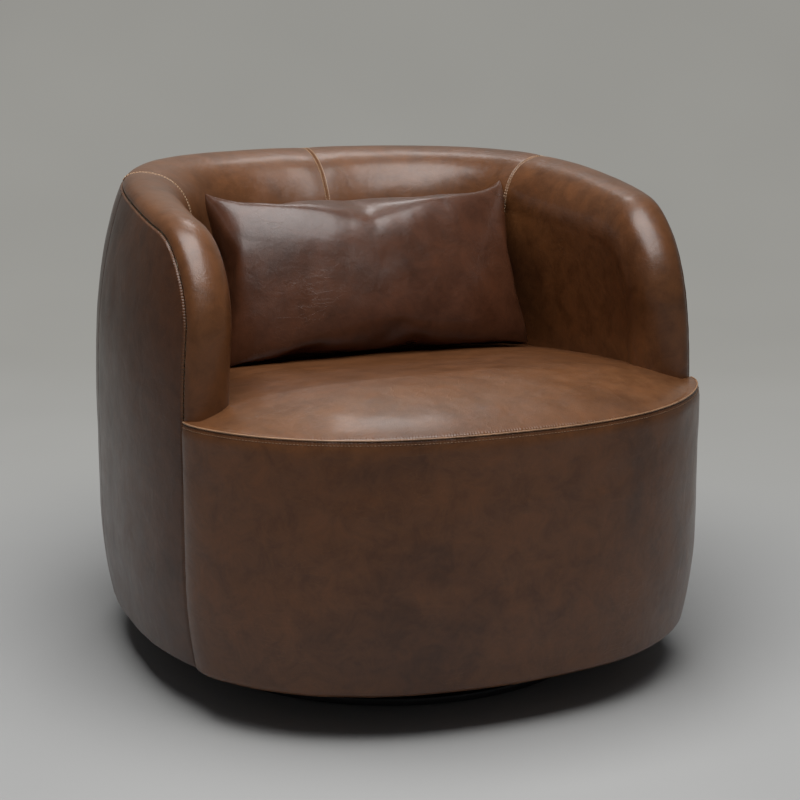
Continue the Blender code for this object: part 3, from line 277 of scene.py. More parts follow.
def stops_between(first, last, count, at_first=True, at_last=True):
    """Even stops from first to last, with closer ones by the ends that are seams."""
    near = np.array(NEAR_SEAM) / abs(last - first)
    shares = np.linspace(0.0, 1.0, count + 1)
    if at_first:
        shares = np.concatenate([near, shares[shares >= near[-1]]])
    if at_last:
        shares = np.concatenate([shares[shares <= 1 - near[-1]], 1 - near[::-1]])
    return first + (last - first) * shares


def corner_line(inward):
    radius = ARM_CORNER_RADIUS - inward
    turn = np.linspace(0.0, math.pi / 2, 2 * CORNER_STEPS + 1)
    distance = ARM_END - ARM_CORNER_RADIUS + radius * np.cos(turn)
    level = roll_start(distance) - inward + radius * (np.sin(turn) - 1)
    return np.stack([distance, level, turn], -1)


def side_line(foot, inward):
    """Up the arm front, from its foot to the middle of the corner."""
    corner = corner_line(inward)
    levels = np.linspace(WALL_FOOT, corner[0, 1], SIDE_STEPS + 1)[:-1]
    if foot < WALL_FOOT:
        levels = np.concatenate([np.linspace(foot, WALL_FOOT, LOW_STEPS + 1)[:-1], levels])
    straight = np.stack([np.full_like(levels, ARM_END - inward), levels, 0 * levels], -1)
    return np.concatenate([straight, corner[:CORNER_STEPS + 1]])


def top_line(stops, inward):
    return np.stack([stops, edge_level(stops, inward), np.full_like(stops, math.pi / 2)], -1)


def crest_line(end, inward):
    """From the middle of the corner back along the crest to an end distance."""
    corner = corner_line(inward)[CORNER_STEPS:]
    stops = stops_between(corner[-1, 0], end, ARM_STEPS, False, True)[1:]
    return np.concatenate([corner, top_line(stops, inward)])


def edge_line(end, foot, inward):
    return np.concatenate([side_line(foot, inward), crest_line(end, inward)[1:]])


def filled_in(left, right, low, top):
    """A grid of values between those along its four sides."""
    v = np.linspace(0.0, 1.0, len(left))[:, None]
    u = np.linspace(0.0, 1.0, len(top))[None, :]
    grid = (1 - u) * left[:, None] + u * right[:, None] + (1 - v) * low + v * top
    grid = grid - (1 - v) * ((1 - u) * low[0] + u * low[-1])
    return grid - v * ((1 - u) * top[0] + u * top[-1])


def arm_grid(end, foot, inward):
    """Places over one arm: rows go up, columns go from its front to a seam."""
    side, rise, _ = side_line(foot, inward).T
    ahead, crest, _ = crest_line(end, inward).T
    low = end + (ahead - end) * (side[0] - end) / (ahead[0] - end)
    rear = foot + (rise - foot) * (crest[-1] - foot) / (rise[-1] - foot)
    return np.stack([filled_in(side, np.full_like(side, end), low, ahead),
                     filled_in(rise, rear, np.full_like(crest, foot), crest)], -1)


def crest_frame(line):
    """Centres of the rolled edge at stations, their outward normals and crown directions."""
    distance, level, turn = line[:, 0], line[:, 1], line[:, 2]
    _, _, across, along = SHELL.at(distance)
    _, _, out, up = profile(level)
    side = np.where(distance >= 0, 1.0, -1.0)
    normal = np.stack([across * out, along * out, up], -1)
    forward = np.stack([along, -across, np.zeros_like(across)], -1) * side[:, None]
    upward = np.stack([-across * up, -along * up, out], -1)
    crown = np.cos(turn)[:, None] * forward + np.sin(turn)[:, None] * upward
    return on_wall(distance, level, roll_half(distance)), normal, crown


def crest_rows(line, lip, inset):
    """Rows of points over the rolled edge, from the outer seam to the lip inside."""
    centre, normal, crown = crest_frame(line)
    half = (roll_half(line[:, 0]) - inset)[:, None]
    turns = set(np.linspace(0.0, math.pi / 2, CREST_STEPS + 1))
    turns |= {value / ROLL_HALF_THICK for value in NEAR_SEAM}
    rows = [centre + half * math.cos(turn) * normal + (ROLL_RISE - inset) * math.sin(turn) * crown
            for turn in sorted(turns)]
    top = rows[-1]
    distance, level = lip[:, 0], lip[:, 1]
    thick = wall_thickness(distance, level)
    inside = on_wall(distance, level, thick - inset)
    down = wall_thickness(distance, level - GAP) - thick
    back = wall_thickness(distance - GAP, level) - thick
    slope = (down * np.sin(line[:, 2]) + back * np.cos(line[:, 2])) / GAP
    fall = ((top - inside) * crown).sum(-1) * FACE_HANDLE
    inward = ((inside - top) * normal).sum(-1) * CREST_HANDLE
    first = top + inward[:, None] * normal
    second = inside + fall[:, None] * (crown + slope[:, None] * normal)
    for share in np.linspace(0.0, 1.0, FALL_STEPS + 1)[1:]:
        rest = 1 - share
        rows.append(rest ** 3 * top + 3 * rest ** 2 * share * first
                    + 3 * rest * share ** 2 * second + share ** 3 * inside)
    return rows


# Meshes


def weld(grids):
    """Join grids of points into points and quads, sharing equal points."""
    index, points, faces = {}, [], []

    def number_of(point):
        key = tuple(np.round(point / WELD).astype(int))
        if key not in index:
            index[key] = len(points)
            points.append(point)
        return index[key]

    for grid, flip in grids:
        keys = [[number_of(point) for point in np.asarray(line)] for line in grid]
        for low, high in zip(keys, keys[1:]):
            for a, b, d, c in zip(low, low[1:], high, high[1:]):
                face = [a, b, c, d]
                face = [v for n, v in enumerate(face) if v != face[n - 1]]
                if len(set(face)) > 2:
                    faces.append(face[::-1] if flip else face)
    return np.array(points), faces


def new_object(name, points, faces):
    mesh = bpy.data.meshes.new(name)
    mesh.from_pydata([tuple(map(float, point)) for point in points], [], faces)
    mesh.validate()
    made = bpy.data.objects.new(name, mesh)
    bpy.context.scene.collection.objects.link(made)
    mesh.shade_smooth()
    return made


def vectors(items, key):
    found = np.empty(len(items) * 3)
    items.foreach_get(key, found)
    return found.reshape(-1, 3)


def coordinates(made):
    return vectors(made.data.vertices, "co")


def normals_of(made):
    return vectors(made.data.vertex_normals, "vector")


def put_back(made, places):
    made.data.vertices.foreach_set("co", places.ravel())
    made.data.update()


def store(made, name, values):
    attribute = made.data.attributes.new(name, "FLOAT", "POINT")
    attribute.data.foreach_set("value", values)


def finish_piece(made, body, nodes, material):
    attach(made, body)
    if nodes:
        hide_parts(*nodes)
    made.data.materials.append(material)


SEAM_STEP = 0.002
TURN_IN_STEPS = ((0.0005, 0.00047), (0.0034, 0.00047))
DIP_WIDTH = 0.0014
HOLLOW_WIDTH = 0.012
WAVE_START = 0.02
PUCKER = 0.0005
PUCKER_RATE = 70.0
PUCKER_START = 0.002
PUCKER_END = 0.011
# Place and width of the pale line just off a seam: partly paling of the folded leather, partly a
# painted highlight on the fold.
EDGE_WEAR_AND_SHEEN_PLACE = 0.0008
EDGE_WEAR_AND_SHEEN_WIDTH = 0.0009
STITCH_PITCH = 0.0048
STITCH_LENGTH = 0.0036
STITCH_RADIUS = 0.00052
STITCH_PLACES = (0.0, 0.18, 0.5, 0.82, 1.0)
STITCH_LIFTS = (-0.6, 0.3, 0.5, 0.3, -0.6)
STITCH_WIDTHS = (0.4, 0.95, 1.0, 0.95, 0.4)
STITCH_SIDES = 6
TUBE_SIDES = 8
SEAM_ENDS = 0.004
SHAPED = {}


def point_tree(points):
    tree = kdtree.KDTree(len(points))
    for number, point in enumerate(points):
        tree.insert(Vector(point), number)
    tree.balance()
    return tree


def along_line(line):
    """How far along a polyline each of its points lies."""
    gaps = np.linalg.norm(np.diff(line, axis=0), axis=1)
    return np.concatenate([[0.0], np.cumsum(gaps)])


def at_stops(stops, lengths, line):
    return np.stack([np.interp(stops, lengths, line[:, axis]) for axis in range(3)], -1)


def dense(line):
    """A polyline resampled at an even step."""
    line = np.asarray(line)
    lengths = along_line(line)
    count = max(int(lengths[-1] / SEAM_STEP), 2)
    return at_stops(np.linspace(0.0, lengths[-1], count + 1), lengths, line)


# Materials

COAT = 0.22
SPECULAR = 0.38
COAT_ROUGHNESS = 0.18
PINCH_PITCH = 0.0042
PINCH_REACH = 0.009
GRAIN_PER_METRE = 620.0
SCARS_PER_METRE = 21.0
SCAR_TONE = 0.09
SCAR_STRETCH = (1.0, 1.0, 4.2)
SCAR_TURN = (0.5, 0.4, 0.3)
MOTTLE_TONES = ((0.34, (0.70, 0.67, 0.63)), (0.52, (0.98, 0.98, 0.98)), (0.70, (1.22, 1.18, 1.12)))


def node(tree, kind, inputs, output=0, **settings):
    """One output of a new node; each input is a socket to link or a value to set."""
    made = tree.nodes.new("ShaderNode" + kind)
    for name, value in settings.items():
        setattr(made, name, value)
    for key, value in inputs.items():
        if isinstance(value, bpy.types.NodeSocket):
            tree.links.new(value, made.inputs[key])
        else:
            made.inputs[key].default_value = value
    return made.outputs[output]


def noise_of(tree, vector, scale, detail, roughness=0.55, distortion=0.0, output="Fac"):
    return node(tree, "TexNoise", {"Vector": vector, "Scale": scale, "Detail": detail,
                                   "Roughness": roughness, "Distortion": distortion}, output)


def ramp(tree, value, stops):
    made = tree.nodes.new("ShaderNodeValToRGB")
    while len(made.color_ramp.elements) < len(stops):
        made.color_ramp.elements.new(0.5)
    for element, (place, colour) in zip(made.color_ramp.elements, stops):
        element.position = place
        element.color = (*colour, 1.0)
    tree.links.new(value, made.inputs["Fac"])
    return made.outputs["Color"]


def grey_ramp(tree, value, *stops):
    return ramp(tree, value, [(place, (tone,) * 3) for place, tone in stops])


def spread(tree, value, low, high, to_low=0.0, to_high=1.0, kind="LINEAR"):
    """A value mapped from one range to another."""
    return node(tree, "MapRange", {"Value": value, "From Min": low, "From Max": high,
                                   "To Min": to_low, "To Max": to_high}, "Result",
                interpolation_type=kind)


def mixed(tree, kind, share, first, second):
    return node(tree, "Mix", {0: share, 6: first, 7: second}, 2, data_type="RGBA",
                blend_type=kind)


def maths(tree, kind, *values):
    return node(tree, "Math", dict(enumerate(values)), operation=kind)


def stored(tree, name):
    """A value that a mesh stores for each of its points."""
    return node(tree, "Attribute", {}, "Fac", attribute_name=name)


def cell_edges(tree, vector, scale, bend_scale, bend_detail, bend):
    """Distance from the edges of cells that noise bends a little."""
    warp = noise_of(tree, vector, bend_scale, bend_detail, output="Color")
    bent = node(tree, "Mix", {0: bend, 4: vector, 5: warp}, 1, data_type="VECTOR")
    return node(tree, "TexVoronoi", {"Scale": scale, "Vector": bent}, "Distance",
                feature="DISTANCE_TO_EDGE")


def new_material(name, roughness=0.5, metallic=0.0):
    """A material with its tree, its shader and the object's coordinates."""
    made = bpy.data.materials.new(name)
    made.use_nodes = True
    tree = made.node_tree
    shader = tree.nodes["Principled BSDF"]
    shader.inputs["Roughness"].default_value = roughness
    shader.inputs["Metallic"].default_value = metallic
    return made, tree, shader, node(tree, "TexCoord", {}, "Object")


def bumps(tree, shader, *layers):
    """Bumps of height, strength and depth, laid over each other."""
    below = {}
    for height, strength, depth in layers:
        made = node(tree, "Bump", {"Height": height, "Strength": strength, "Distance": depth,
                                   **below}, "Normal")
        below = {"Normal": made}
    tree.links.new(made, shader.inputs["Normal"])


def pinches(tree):
    """Fine ridges square to a seam, fading away from it."""
    wave = maths(tree, "SINE", maths(tree, "MULTIPLY", stored(tree, "along"), 6.2832 / PINCH_PITCH))
    fade = spread(tree, stored(tree, "away"), 0.0, PINCH_REACH, 1.0, 0.0)
    return maths(tree, "MULTIPLY", wave, maths(tree, "POWER", fade, 2.0))


def scratches(tree, place):
    """Sparse thin scars: the thin edges of stretched, bent cells, kept in patches."""
    stretched = node(tree, "Mapping", {"Vector": place, "Scale": SCAR_STRETCH,
                                       "Rotation": SCAR_TURN})
    edges = cell_edges(tree, stretched, SCARS_PER_METRE, 14.0, 3.0, 0.06)
    thin = grey_ramp(tree, edges, (0.0, 1.0), (0.022, 0.0))
    kept = grey_ramp(tree, noise_of(tree, place, 9.0, 2.0), (0.52, 0.0), (0.62, 1.0))
    return maths(tree, "MULTIPLY", thin, kept)


def leather_material(name, dark, middle, pale, smooth, rough, coat=COAT):
    """Waxed pull-up leather: mottled brown, paler where it is stretched and along seam folds, where
    the paling is partly a painted highlight; fine grain.
    """
    made, tree, shader, place = new_material(name)
    broad = noise_of(tree, place, 4.5, 5.0, 0.6, 0.4)
    colour = ramp(tree, broad, ((0.32, dark), (0.50, middle), (0.80, middle)))
    spots = ramp(tree, noise_of(tree, place, 27.0, 7.0, 0.72, 0.5), MOTTLE_TONES)
    colour = mixed(tree, "MULTIPLY", 1.0, colour, spots)
    rubbed = grey_ramp(tree, noise_of(tree, place, 48.0, 6.0, 0.68, 0.6), (0.28, 0.25), (0.72, 1.0))
    scars = scratches(tree, place)
    # The stored value pales the colour: real wear, and along seams partly a painted highlight on
    # the fold.
    worn_and_sheen = maths(tree, "ADD", maths(tree, "MULTIPLY", stored(tree, "wear"), rubbed),
                 maths(tree, "MULTIPLY", scars, SCAR_TONE))
    tree.links.new(mixed(tree, "MIX", worn_and_sheen, colour, (*pale, 1.0)), shader.inputs["Base Color"])
    grain = grey_ramp(tree, cell_edges(tree, place, GRAIN_PER_METRE, 90.0, 2.0, 0.006),
                      (0.0, 0.0), (0.35, 1.0))
    fine = noise_of(tree, place, 300.0, 4.0, 0.6)
    soft = noise_of(tree, place, 34.0, 3.0, 0.5, 0.6)
    bumps(tree, shader, (grain, 0.14, 0.0006), (fine, 0.10, 0.0012), (soft, 0.14, 0.006),
          (pinches(tree), 0.35, 0.0008), (scars, 0.25, 0.0006))
    gloss = noise_of(tree, place, 14.0, 6.0, 0.65)
    tree.links.new(spread(tree, gloss, 0.3, 0.7, smooth, rough), shader.inputs["Roughness"])
    shader.inputs["Specular IOR Level"].default_value = SPECULAR
    shader.inputs["Coat Weight"].default_value = coat
    shader.inputs["Coat Roughness"].default_value = COAT_ROUGHNESS
    return made


def plain_material(name, first, second, scale, roughness, metallic=0.0, grain=0.2,
                   stretch=(1.0, 1.0, 1.0), depth=0.0004):
    """Two colours mixed by stretched noise, with a bump of the same noise."""
    made, tree, shader, place = new_material(name, roughness, metallic)
    stretched = node(tree, "Mapping", {"Vector": place, "Scale": stretch})
    pattern = noise_of(tree, stretched, scale, 6.0, 0.6, 0.3)
    tree.links.new(ramp(tree, pattern, ((0.35, first), (0.65, second))),
                   shader.inputs["Base Color"])
    bumps(tree, shader, (pattern, grain, depth))
    return made


def woven_material(name, first, second, pitch, roughness):
    """A plain weave: crossed threads from two wave textures."""
    made, tree, shader, place = new_material(name, roughness)
    scale = 1.0 / (pitch * 6.2832) * 2.0
    waves = [node(tree, "TexWave", {"Scale": scale, "Vector": place}, "Fac", bands_direction=axis)
             for axis in ("X", "Y")]
    weave = maths(tree, "MULTIPLY", *waves)
    tree.links.new(ramp(tree, weave, ((0.0, first), (0.8, second))), shader.inputs["Base Color"])
    bumps(tree, shader, (weave, 0.5, pitch / 2))
    return made


leather = leather_material("brown_leather", (0.070, 0.0245, 0.0082), (0.118, 0.0435, 0.0145),
                           (0.290, 0.140, 0.062), 0.28, 0.40)
# A darker copy of the brown leather for the outside arms and back: painted shade on the outer
# sides.
shaded_outside_leather = leather_material("shaded_outside_leather", (0.044, 0.0155, 0.0056),
                                   (0.076, 0.0270, 0.0098), (0.240, 0.115, 0.052), 0.30, 0.42)
pillow_leather = leather_material("pillow_leather", (0.048, 0.0168, 0.0078),
                                  (0.072, 0.0250, 0.0116), (0.230, 0.105, 0.052), 0.26, 0.38, 0.32)
# Pale leather for the folded seam edge: partly the paling of the fold, partly a painted highlight
# where the fold catches light.
edge_leather_painted_highlight = leather_material("edge_leather_painted_highlight", (0.270, 0.145, 0.078), (0.340, 0.190, 0.105),
                                (0.420, 0.250, 0.150), 0.40, 0.50)
foam = plain_material("foam", (0.74, 0.68, 0.48), (0.86, 0.81, 0.62), 700.0, 0.95, grain=0.6)
plywood = plain_material("plywood", (0.42, 0.26, 0.13), (0.62, 0.43, 0.25), 30.0, 0.7, grain=0.15,
                         stretch=(1.0, 1.0, 14.0))
liner = plain_material("liner_board", (0.33, 0.28, 0.22), (0.45, 0.39, 0.31), 220.0, 0.9)
dust_cloth = woven_material("dust_cloth", (0.008, 0.008, 0.009), (0.030, 0.030, 0.032),
                            0.0016, 0.95)
deck = woven_material("deck_cloth", (0.26, 0.19, 0.10), (0.50, 0.40, 0.24), 0.0022, 0.95)
black = plain_material("black_powder_coat", (0.006, 0.006, 0.007), (0.011, 0.011, 0.012), 900.0,
                       0.42, grain=0.35, depth=0.0003)
steel = plain_material("zinc_plated_steel", (0.46, 0.47, 0.50), (0.60, 0.61, 0.63), 90.0, 0.38,
                       1.0, 0.08)
rubber = plain_material("rubber", (0.012, 0.012, 0.012), (0.022, 0.022, 0.022), 500.0, 0.85)
thread = plain_material("thread", (0.46, 0.30, 0.18), (0.62, 0.43, 0.28), 1500.0, 0.6, grain=0.4)
dark_thread = plain_material("dark_thread", (0.16, 0.085, 0.042), (0.23, 0.130, 0.070), 1500.0,
                             0.6, grain=0.4)

# Of the words that a node's name holds, the last one listed gives its material
NODE_MATERIALS = ((foam, "foam", "pad"), (plywood, "rib", "post", "board", "rail", "seat_ring"),
                  (liner, "liner"), (dust_cloth, "dust"), (deck, "deck"), (black, "plinth"),
                  (steel, "plate", "bolt", "screw", "spring", "cage"), (rubber, "glide"))
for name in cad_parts:
    found = [made for made, *words in NODE_MATERIALS if any(word in name for word in words)]
    for place in bpy.data.objects[name].material_slots if found else ():
        place.material = found[-1]

# Leather panels


BROAD_RATE = 8.0
FINE_RATE = 26.0


def undulate(point, seed, broad=0.0010, fine=0.0004):
    """Slow waves of a hide over foam."""
    spot = Vector(point)
    wave = noise.noise(spot * BROAD_RATE + Vector((seed, 0.0, 0.0))) * broad
    return wave + noise.noise(spot * FINE_RATE + Vector((0.0, seed, 0.0))) * fine


def fading(away, width):
    return math.exp(-(away / width) ** 2)


def shape_panel(made, seams, seed, wear=None, waves=1.0, hollow_width=HOLLOW_WIDTH):
    """Waves, drawn-in seams, and how far each vertex lies from a seam and along it."""
    places = coordinates(made)
    normals = normals_of(made)
    lines = [dense(line) for line, _ in seams]
    owners = np.concatenate([np.full(len(line), number) for number, line in enumerate(lines)])
    steps = np.concatenate([np.arange(len(line)) * SEAM_STEP for line in lines])
    tree = point_tree(np.concatenate(lines))
    values = {name: np.zeros(len(places), np.float32) for name in ("wear", "away", "along")}
    moved = places.copy()
    for number, (point, normal) in enumerate(zip(places, normals)):
        _, index, away = tree.find(Vector(point))
        owner = owners[index]
        dip, hollow, edge = seams[owner][1]
        drawn = dip * fading(away, DIP_WIDTH)
        drawn += hollow * fading(away, hollow_width)
        wave = undulate(point, seed) * (1 - fading(away, WAVE_START)) * waves
        pucker = noise.noise(Vector((steps[index] * PUCKER_RATE, owner * 9.0, seed)))
        pucker *= PUCKER * fading(away, PUCKER_END) * (1 - fading(away, PUCKER_START))
        moved[number] = point + normal * (wave + pucker - drawn)
        values["away"][number] = min(away, 0.1)
        values["along"][number] = steps[index]
        # A pale line just off each seam: partly paling of folded leather, partly a painted
        # highlight where the fold catches light.
        values["wear"][number] = edge * fading(away - EDGE_WEAR_AND_SHEEN_PLACE, EDGE_WEAR_AND_SHEEN_WIDTH)
        if wear is not None:
            values["wear"][number] += wear(point, normal)
    put_back(made, moved)
    for name, found in values.items():
        store(made, name, found)
    SHAPED[made.name] = (point_tree(places), moved, normals_of(made))
    turn_in_edges(made)


def turn_in_edges(made):
    """Turn the leather in along every open edge, as a seam allowance does."""
    work = bmesh.new()
    work.from_mesh(made.data)
    work.normal_update()
    edges = [edge for edge in work.edges if edge.is_boundary]
    rims = {}
    for edge in edges:
        middle = sum((vert.co for vert in edge.verts), Vector()) / 2
        away = (middle - edge.link_faces[0].calc_center_median()).normalized()
        for vert in edge.verts:
            rim = rims.get(vert.index, (vert.co.copy(), vert.normal.copy(), Vector()))
            rims[vert.index] = rim[0], rim[1], rim[2] + away
    rims = list(rims.values())
    tree = point_tree([spot for spot, _, _ in rims])
    for depth, reach in TURN_IN_STEPS:
        grown = bmesh.ops.extrude_edge_only(work, edges=edges)["geom"]
        edges = [item for item in grown if isinstance(item, bmesh.types.BMEdge)]
        for vert in (item for item in grown if isinstance(item, bmesh.types.BMVert)):
            spot, normal, pull = rims[tree.find(vert.co)[1]]
            vert.co = spot + pull.normalized() * reach - normal * depth
    work.to_mesh(made.data)
    work.free()


def settled(made, line):
    """Where points of a panel's plan lie after its shaping, with their normals."""
    tree, moved, normals = SHAPED[made.name]
    found = [tree.find(Vector(point))[1] for point in line]
    return moved[found], normals[found]


def swept(line, first, second, radius, sides):
    """A grid of points round a line, between two directions square to it."""
    rows = [line + radius * (math.cos(turn) * first + math.sin(turn) * second)
            for turn in np.linspace(0.0, 2 * math.pi, sides + 1)]
    return np.array(rows), False


def tube(name, line, radius):
    """A round strip along a polyline."""
    run = np.gradient(line, axis=0)
    run = run / np.linalg.norm(run, axis=1)[:, None]
    out = np.cross(run, (0.0, 0.0, 1.0))
    out = out / np.linalg.norm(out, axis=1)[:, None]
    return new_object(name, *weld([swept(line, out, np.cross(out, run), radius, TUBE_SIDES)]))


def stitch_seam(name, made, line, sewn=thread):
    """A row of stitches lying on a shaped panel."""
    points, normals = settled(made, line)
    lengths = along_line(points)
    grids = []
    lift, wide = (STITCH_RADIUS * np.array(shares)[:, None]
                  for shares in (STITCH_LIFTS, STITCH_WIDTHS))
    for start in np.arange(SEAM_ENDS, lengths[-1] - SEAM_ENDS, STITCH_PITCH):
        stops = start + STITCH_LENGTH * np.array(STITCH_PLACES)
        spot = at_stops(stops, lengths, points)
        out = at_stops(stops, lengths, normals)
        run = spot[-1] - spot[0]
        run = run / np.linalg.norm(run)
        grids.append(swept(spot + lift * out, np.cross(out, run), out, wide, STITCH_SIDES))
    finish_piece(new_object(name, *weld(grids)), "chair", (), sewn)


def sided(side, line):
    return np.array(line) * ((-1, 1, 1) if side == "left" else (1, 1, 1))


def inner_face(places, under=0.0):
    distance, level = places[..., 0], places[..., 1]
    return on_wall(distance, level, wall_thickness(distance, level) - under)


def mirror(made):
    places = coordinates(made)
    places[:, 0] *= -1
    put_back(made, places)
    made.data.flip_normals()


# Tone, power of the facing, lowest level and rise of the wear
CREST_WEAR = (0.16, 2, 0.60, 0.10)
NOSE_WEAR = (0.12, 3, 0.40, 0.15)


def wall_wear(point, normal):
    """Paler leather where it is stretched over the crest and the arm fronts."""
    total = 0.0
    for facing, (tone, power, foot, rise) in ((normal[2], CREST_WEAR), (-normal[1], NOSE_WEAR)):
        up = max(min((point[2] - foot) / rise, 1.0), 0.0)
        total += tone * (max(facing, 0.0) ** power * up)
    return total


SEEDS = {"arm_facing_left": 3.0, "arm_facing_right": 7.0, "inside_back_left": 11.0,
         "inside_back_right": 13.0, "outside_arm_left": 17.0, "outside_arm_right": 19.0,
         "outside_back": 23.0, "front_border": 29.0, "seat_top": 31.0}
# Kinds of seam: depth of the dip, depth of the hollow beside it, paling of the folded edge, which
# is partly a painted highlight
ROLL_KIND = (0.0034, 0.0026, 0.0)
JOIN_KIND = (0.0022, 0.0010, 0.5)
REAR_KIND = (0.0007, 0.0004, 0.0)
HEM_KIND = (0.0026, 0.0006, 0.35)
BORDER_END_KIND = (0.0036, 0.0, 0.3)
SEAT_KIND = (0.0008, 0.0003, 0.2)
ROLL_HOLLOW_WIDTH = 0.013
STITCH_COLUMNS = 4
HEM_INWARDS = (0.027, 0.020, 0.015, *(SEAM_GAP + value for value in NEAR_SEAM[::-1]))
FOOT_ROWS = 15


def panel(name, grids, seams, side="right", hide=leather, adjust=None, **looks):
    """A leather panel with its seams, lines with their kinds, in place of its CAD solid."""
    made = new_object(f"leather_{name}", *weld(grids))
    if side == "left":
        mirror(made)
    if adjust:
        adjust(made)
    seams = [(sided(side, line), kind) for line, kind in seams]
    shape_panel(made, seams, SEEDS[name], **looks)
    node_name = "seat_top_cover" if name == "seat_top" else name
    finish_piece(made, "chair", [node_name], hide)
    return made


def inner_panel(name, side, line, lip, places, joins, sewn):
    """Leather over a rolled top and an inner face, with joins and stitches down its columns."""
    rows = crest_rows(line, lip, 0.0)
    face = inner_face(places)

    def down(column):
        return [row[column] for row in rows] + list(face[::-1, column])

    made = panel(f"{name}_{side}", [(rows, False), (face, True)],
                 [(rows[0], ROLL_KIND)] + [(down(column), JOIN_KIND) for column in joins],
                 side, wear=wall_wear, hollow_width=ROLL_HOLLOW_WIDTH)
    for place, column in sewn:
        stitch_seam(f"stitches_{side}_{place}", made, sided(side, down(column)))


def facing_panel(side):
    """Leather over an arm's front, rolled top and inner face, back to the top seam."""
    end = TOP_SEAM + SEAM_GAP / 2
    inner_panel("arm_facing", side, edge_line(end, WALL_FOOT, 0.0),
                edge_line(end, WALL_FOOT, LIP), arm_grid(end, WALL_FOOT, LIP), (-1,),
                (("facing", -1 - STITCH_COLUMNS),))


def back_line(end, inward, start, count=BACK_STEPS):
    return top_line(stops_between(end, start, count), inward)


def back_grid(end, foot, inward, start, count=BACK_STEPS):
    left = side_line(foot, inward)
    shares = (left[:, 1] - foot) / (left[-1, 1] - foot)
    line = back_line(end, inward, start, count)
    level = foot + (line[None, :, 1] - foot) * shares[:, None]
    return np.stack([np.broadcast_to(line[None, :, 0], level.shape), level], -1)


def inside_back_panel(side):
    """Leather over half the inside of the back and its rolled top."""
    end, start = TOP_SEAM - SEAM_GAP / 2, SEAM_GAP / 2
    inner_panel("inside_back", side, back_line(end, 0.0, start), back_line(end, LIP, start),
                back_grid(end, WALL_FOOT, LIP, start), (0, -1),
                (("back_arm", STITCH_COLUMNS), ("back_middle", -1 - STITCH_COLUMNS)))


def foot_rows(places):
    """Rows round the turned-under bottom edge, up to the lowest row of places."""
    levels = np.concatenate([np.linspace(BODY_FOOT, FOOT_TURN_TOP, FOOT_ROWS),
                             [(FOOT_TURN_TOP + LINER_FOOT) / 2]])
    return [np.stack([places[:, 0], np.full(len(places), level)], -1) for level in levels]


def shell_points(rows):
    return np.array([on_wall(row[:, 0], row[:, 1], 0.0) for row in rows])


def outside_arm(side):
    """Leather over the arm's outer side, from the rear seam to the arm front."""
    inner = arm_grid(REAR_SEAM, LINER_FOOT, LIP)
    strip = [edge_line(REAR_SEAM, LINER_FOOT, inward)[:, :2] for inward in (LIP, *HEM_INWARDS)]
    edge = np.array([row[0] for row in strip[:0:-1]])
    base = np.concatenate([edge, inner[0]])
    face = on_wall(inner[..., 0], inner[..., 1], 0.0)
    hem = shell_points(strip)
    bottom = shell_points(foot_rows(base) + [base])
    rear = list(bottom[:, -1]) + list(face[:, -1]) + [row[-1] for row in hem]
    front = list(bottom[:, 0]) + list(hem[-1])
    # The outer side takes the darker leather copy, painted shade.
    panel(f"outside_arm_{side}", [(face, False), (hem, False), (bottom, False)],
          [(front, HEM_KIND), (rear, REAR_KIND)], side, shaded_outside_leather, close_front)


CLOSE_TOP = 0.345
CLOSE_RISE = 0.045
CLOSE_START_Y = -0.200
CLOSE_RUN = 0.037
CLOSE_FORWARD = 0.0062
CLOSE_INWARD = 0.0026


def close_front(made):
    """Below the arm facing the side panel runs on to meet the front border."""
    places = coordinates(made)
    share = np.clip((CLOSE_TOP - places[:, 2]) / CLOSE_RISE, 0.0, 1.0)
    share = share * share * (3 - 2 * share)
    ahead = np.clip((CLOSE_START_Y - places[:, 1]) / CLOSE_RUN, 0.0, 1.0) ** 2
    places[:, 1] -= CLOSE_FORWARD * share * ahead
    places[:, 0] += np.sign(places[:, 0]) * -CLOSE_INWARD * share * ahead
    put_back(made, places)


def outside_back():
    """Leather over the back's outer side, between the two rear seams."""
    end = REAR_SEAM - SEAM_GAP
    rows = list(back_grid(end, LINER_FOOT, LIP, -end, OUTSIDE_STEPS))
    rows += [back_line(end, inward, -end, OUTSIDE_STEPS)[:, :2] for inward in HEM_INWARDS]
    points = shell_points(foot_rows(rows[0]) + rows)
    # The outer back takes the darker leather copy, painted shade.
    panel("outside_back", [(points, False)],
          [(points[:, 0], REAR_KIND), (points[:, -1], REAR_KIND), (points[-1], HEM_KIND)],
          hide=shaded_outside_leather)


BORDER_WAVES = 1.3
BORDER_WEAR = 0.10
BORDER_WEAR_LEVEL = 0.415
BORDER_WEAR_REACH = 0.012


def border_draw(distance):
    return BORDER_END_DRAW * np.exp(-(np.abs(distance) - BORDER_END) / BORDER_END_RUN)


def border_grid(distance, levels, depth):
    """Rows of points of the front border at depths under its outer surface."""
    x, y, across, along = FRONT.at(distance)
    rows = []
    for level in levels:
        inset, height, out, up = profile(level)
        turn = max((level - SEAT_SEAM_Z) / BORDER_TURN_HEIGHT + 1, 0.0)
        if level > TOP_LEAN_START:
            inset, out, up = 0.0, 1.0, 0.0
        reach = inset + border_draw(distance) + BORDER_TURN * turn ** 2 + depth * out
        high = np.full_like(x, height - depth * up)
        rows.append(np.stack([x - across * reach, y - along * reach, high], -1))
    return np.array(rows)


def border_stops(count):
    """Distances along the front outline, from the +X end round to the -X end."""
    half = float(FRONT.lengths[-1])
    span = half - BORDER_END
    return np.concatenate([half - stops_between(span, 0.0, count // 2, True, False),
                           -half + stops_between(0.0, span, count // 2, False, True)[1:]])


def border_wear(point, normal):
    return BORDER_WEAR * fading(point[2] - BORDER_WEAR_LEVEL, BORDER_WEAR_REACH)


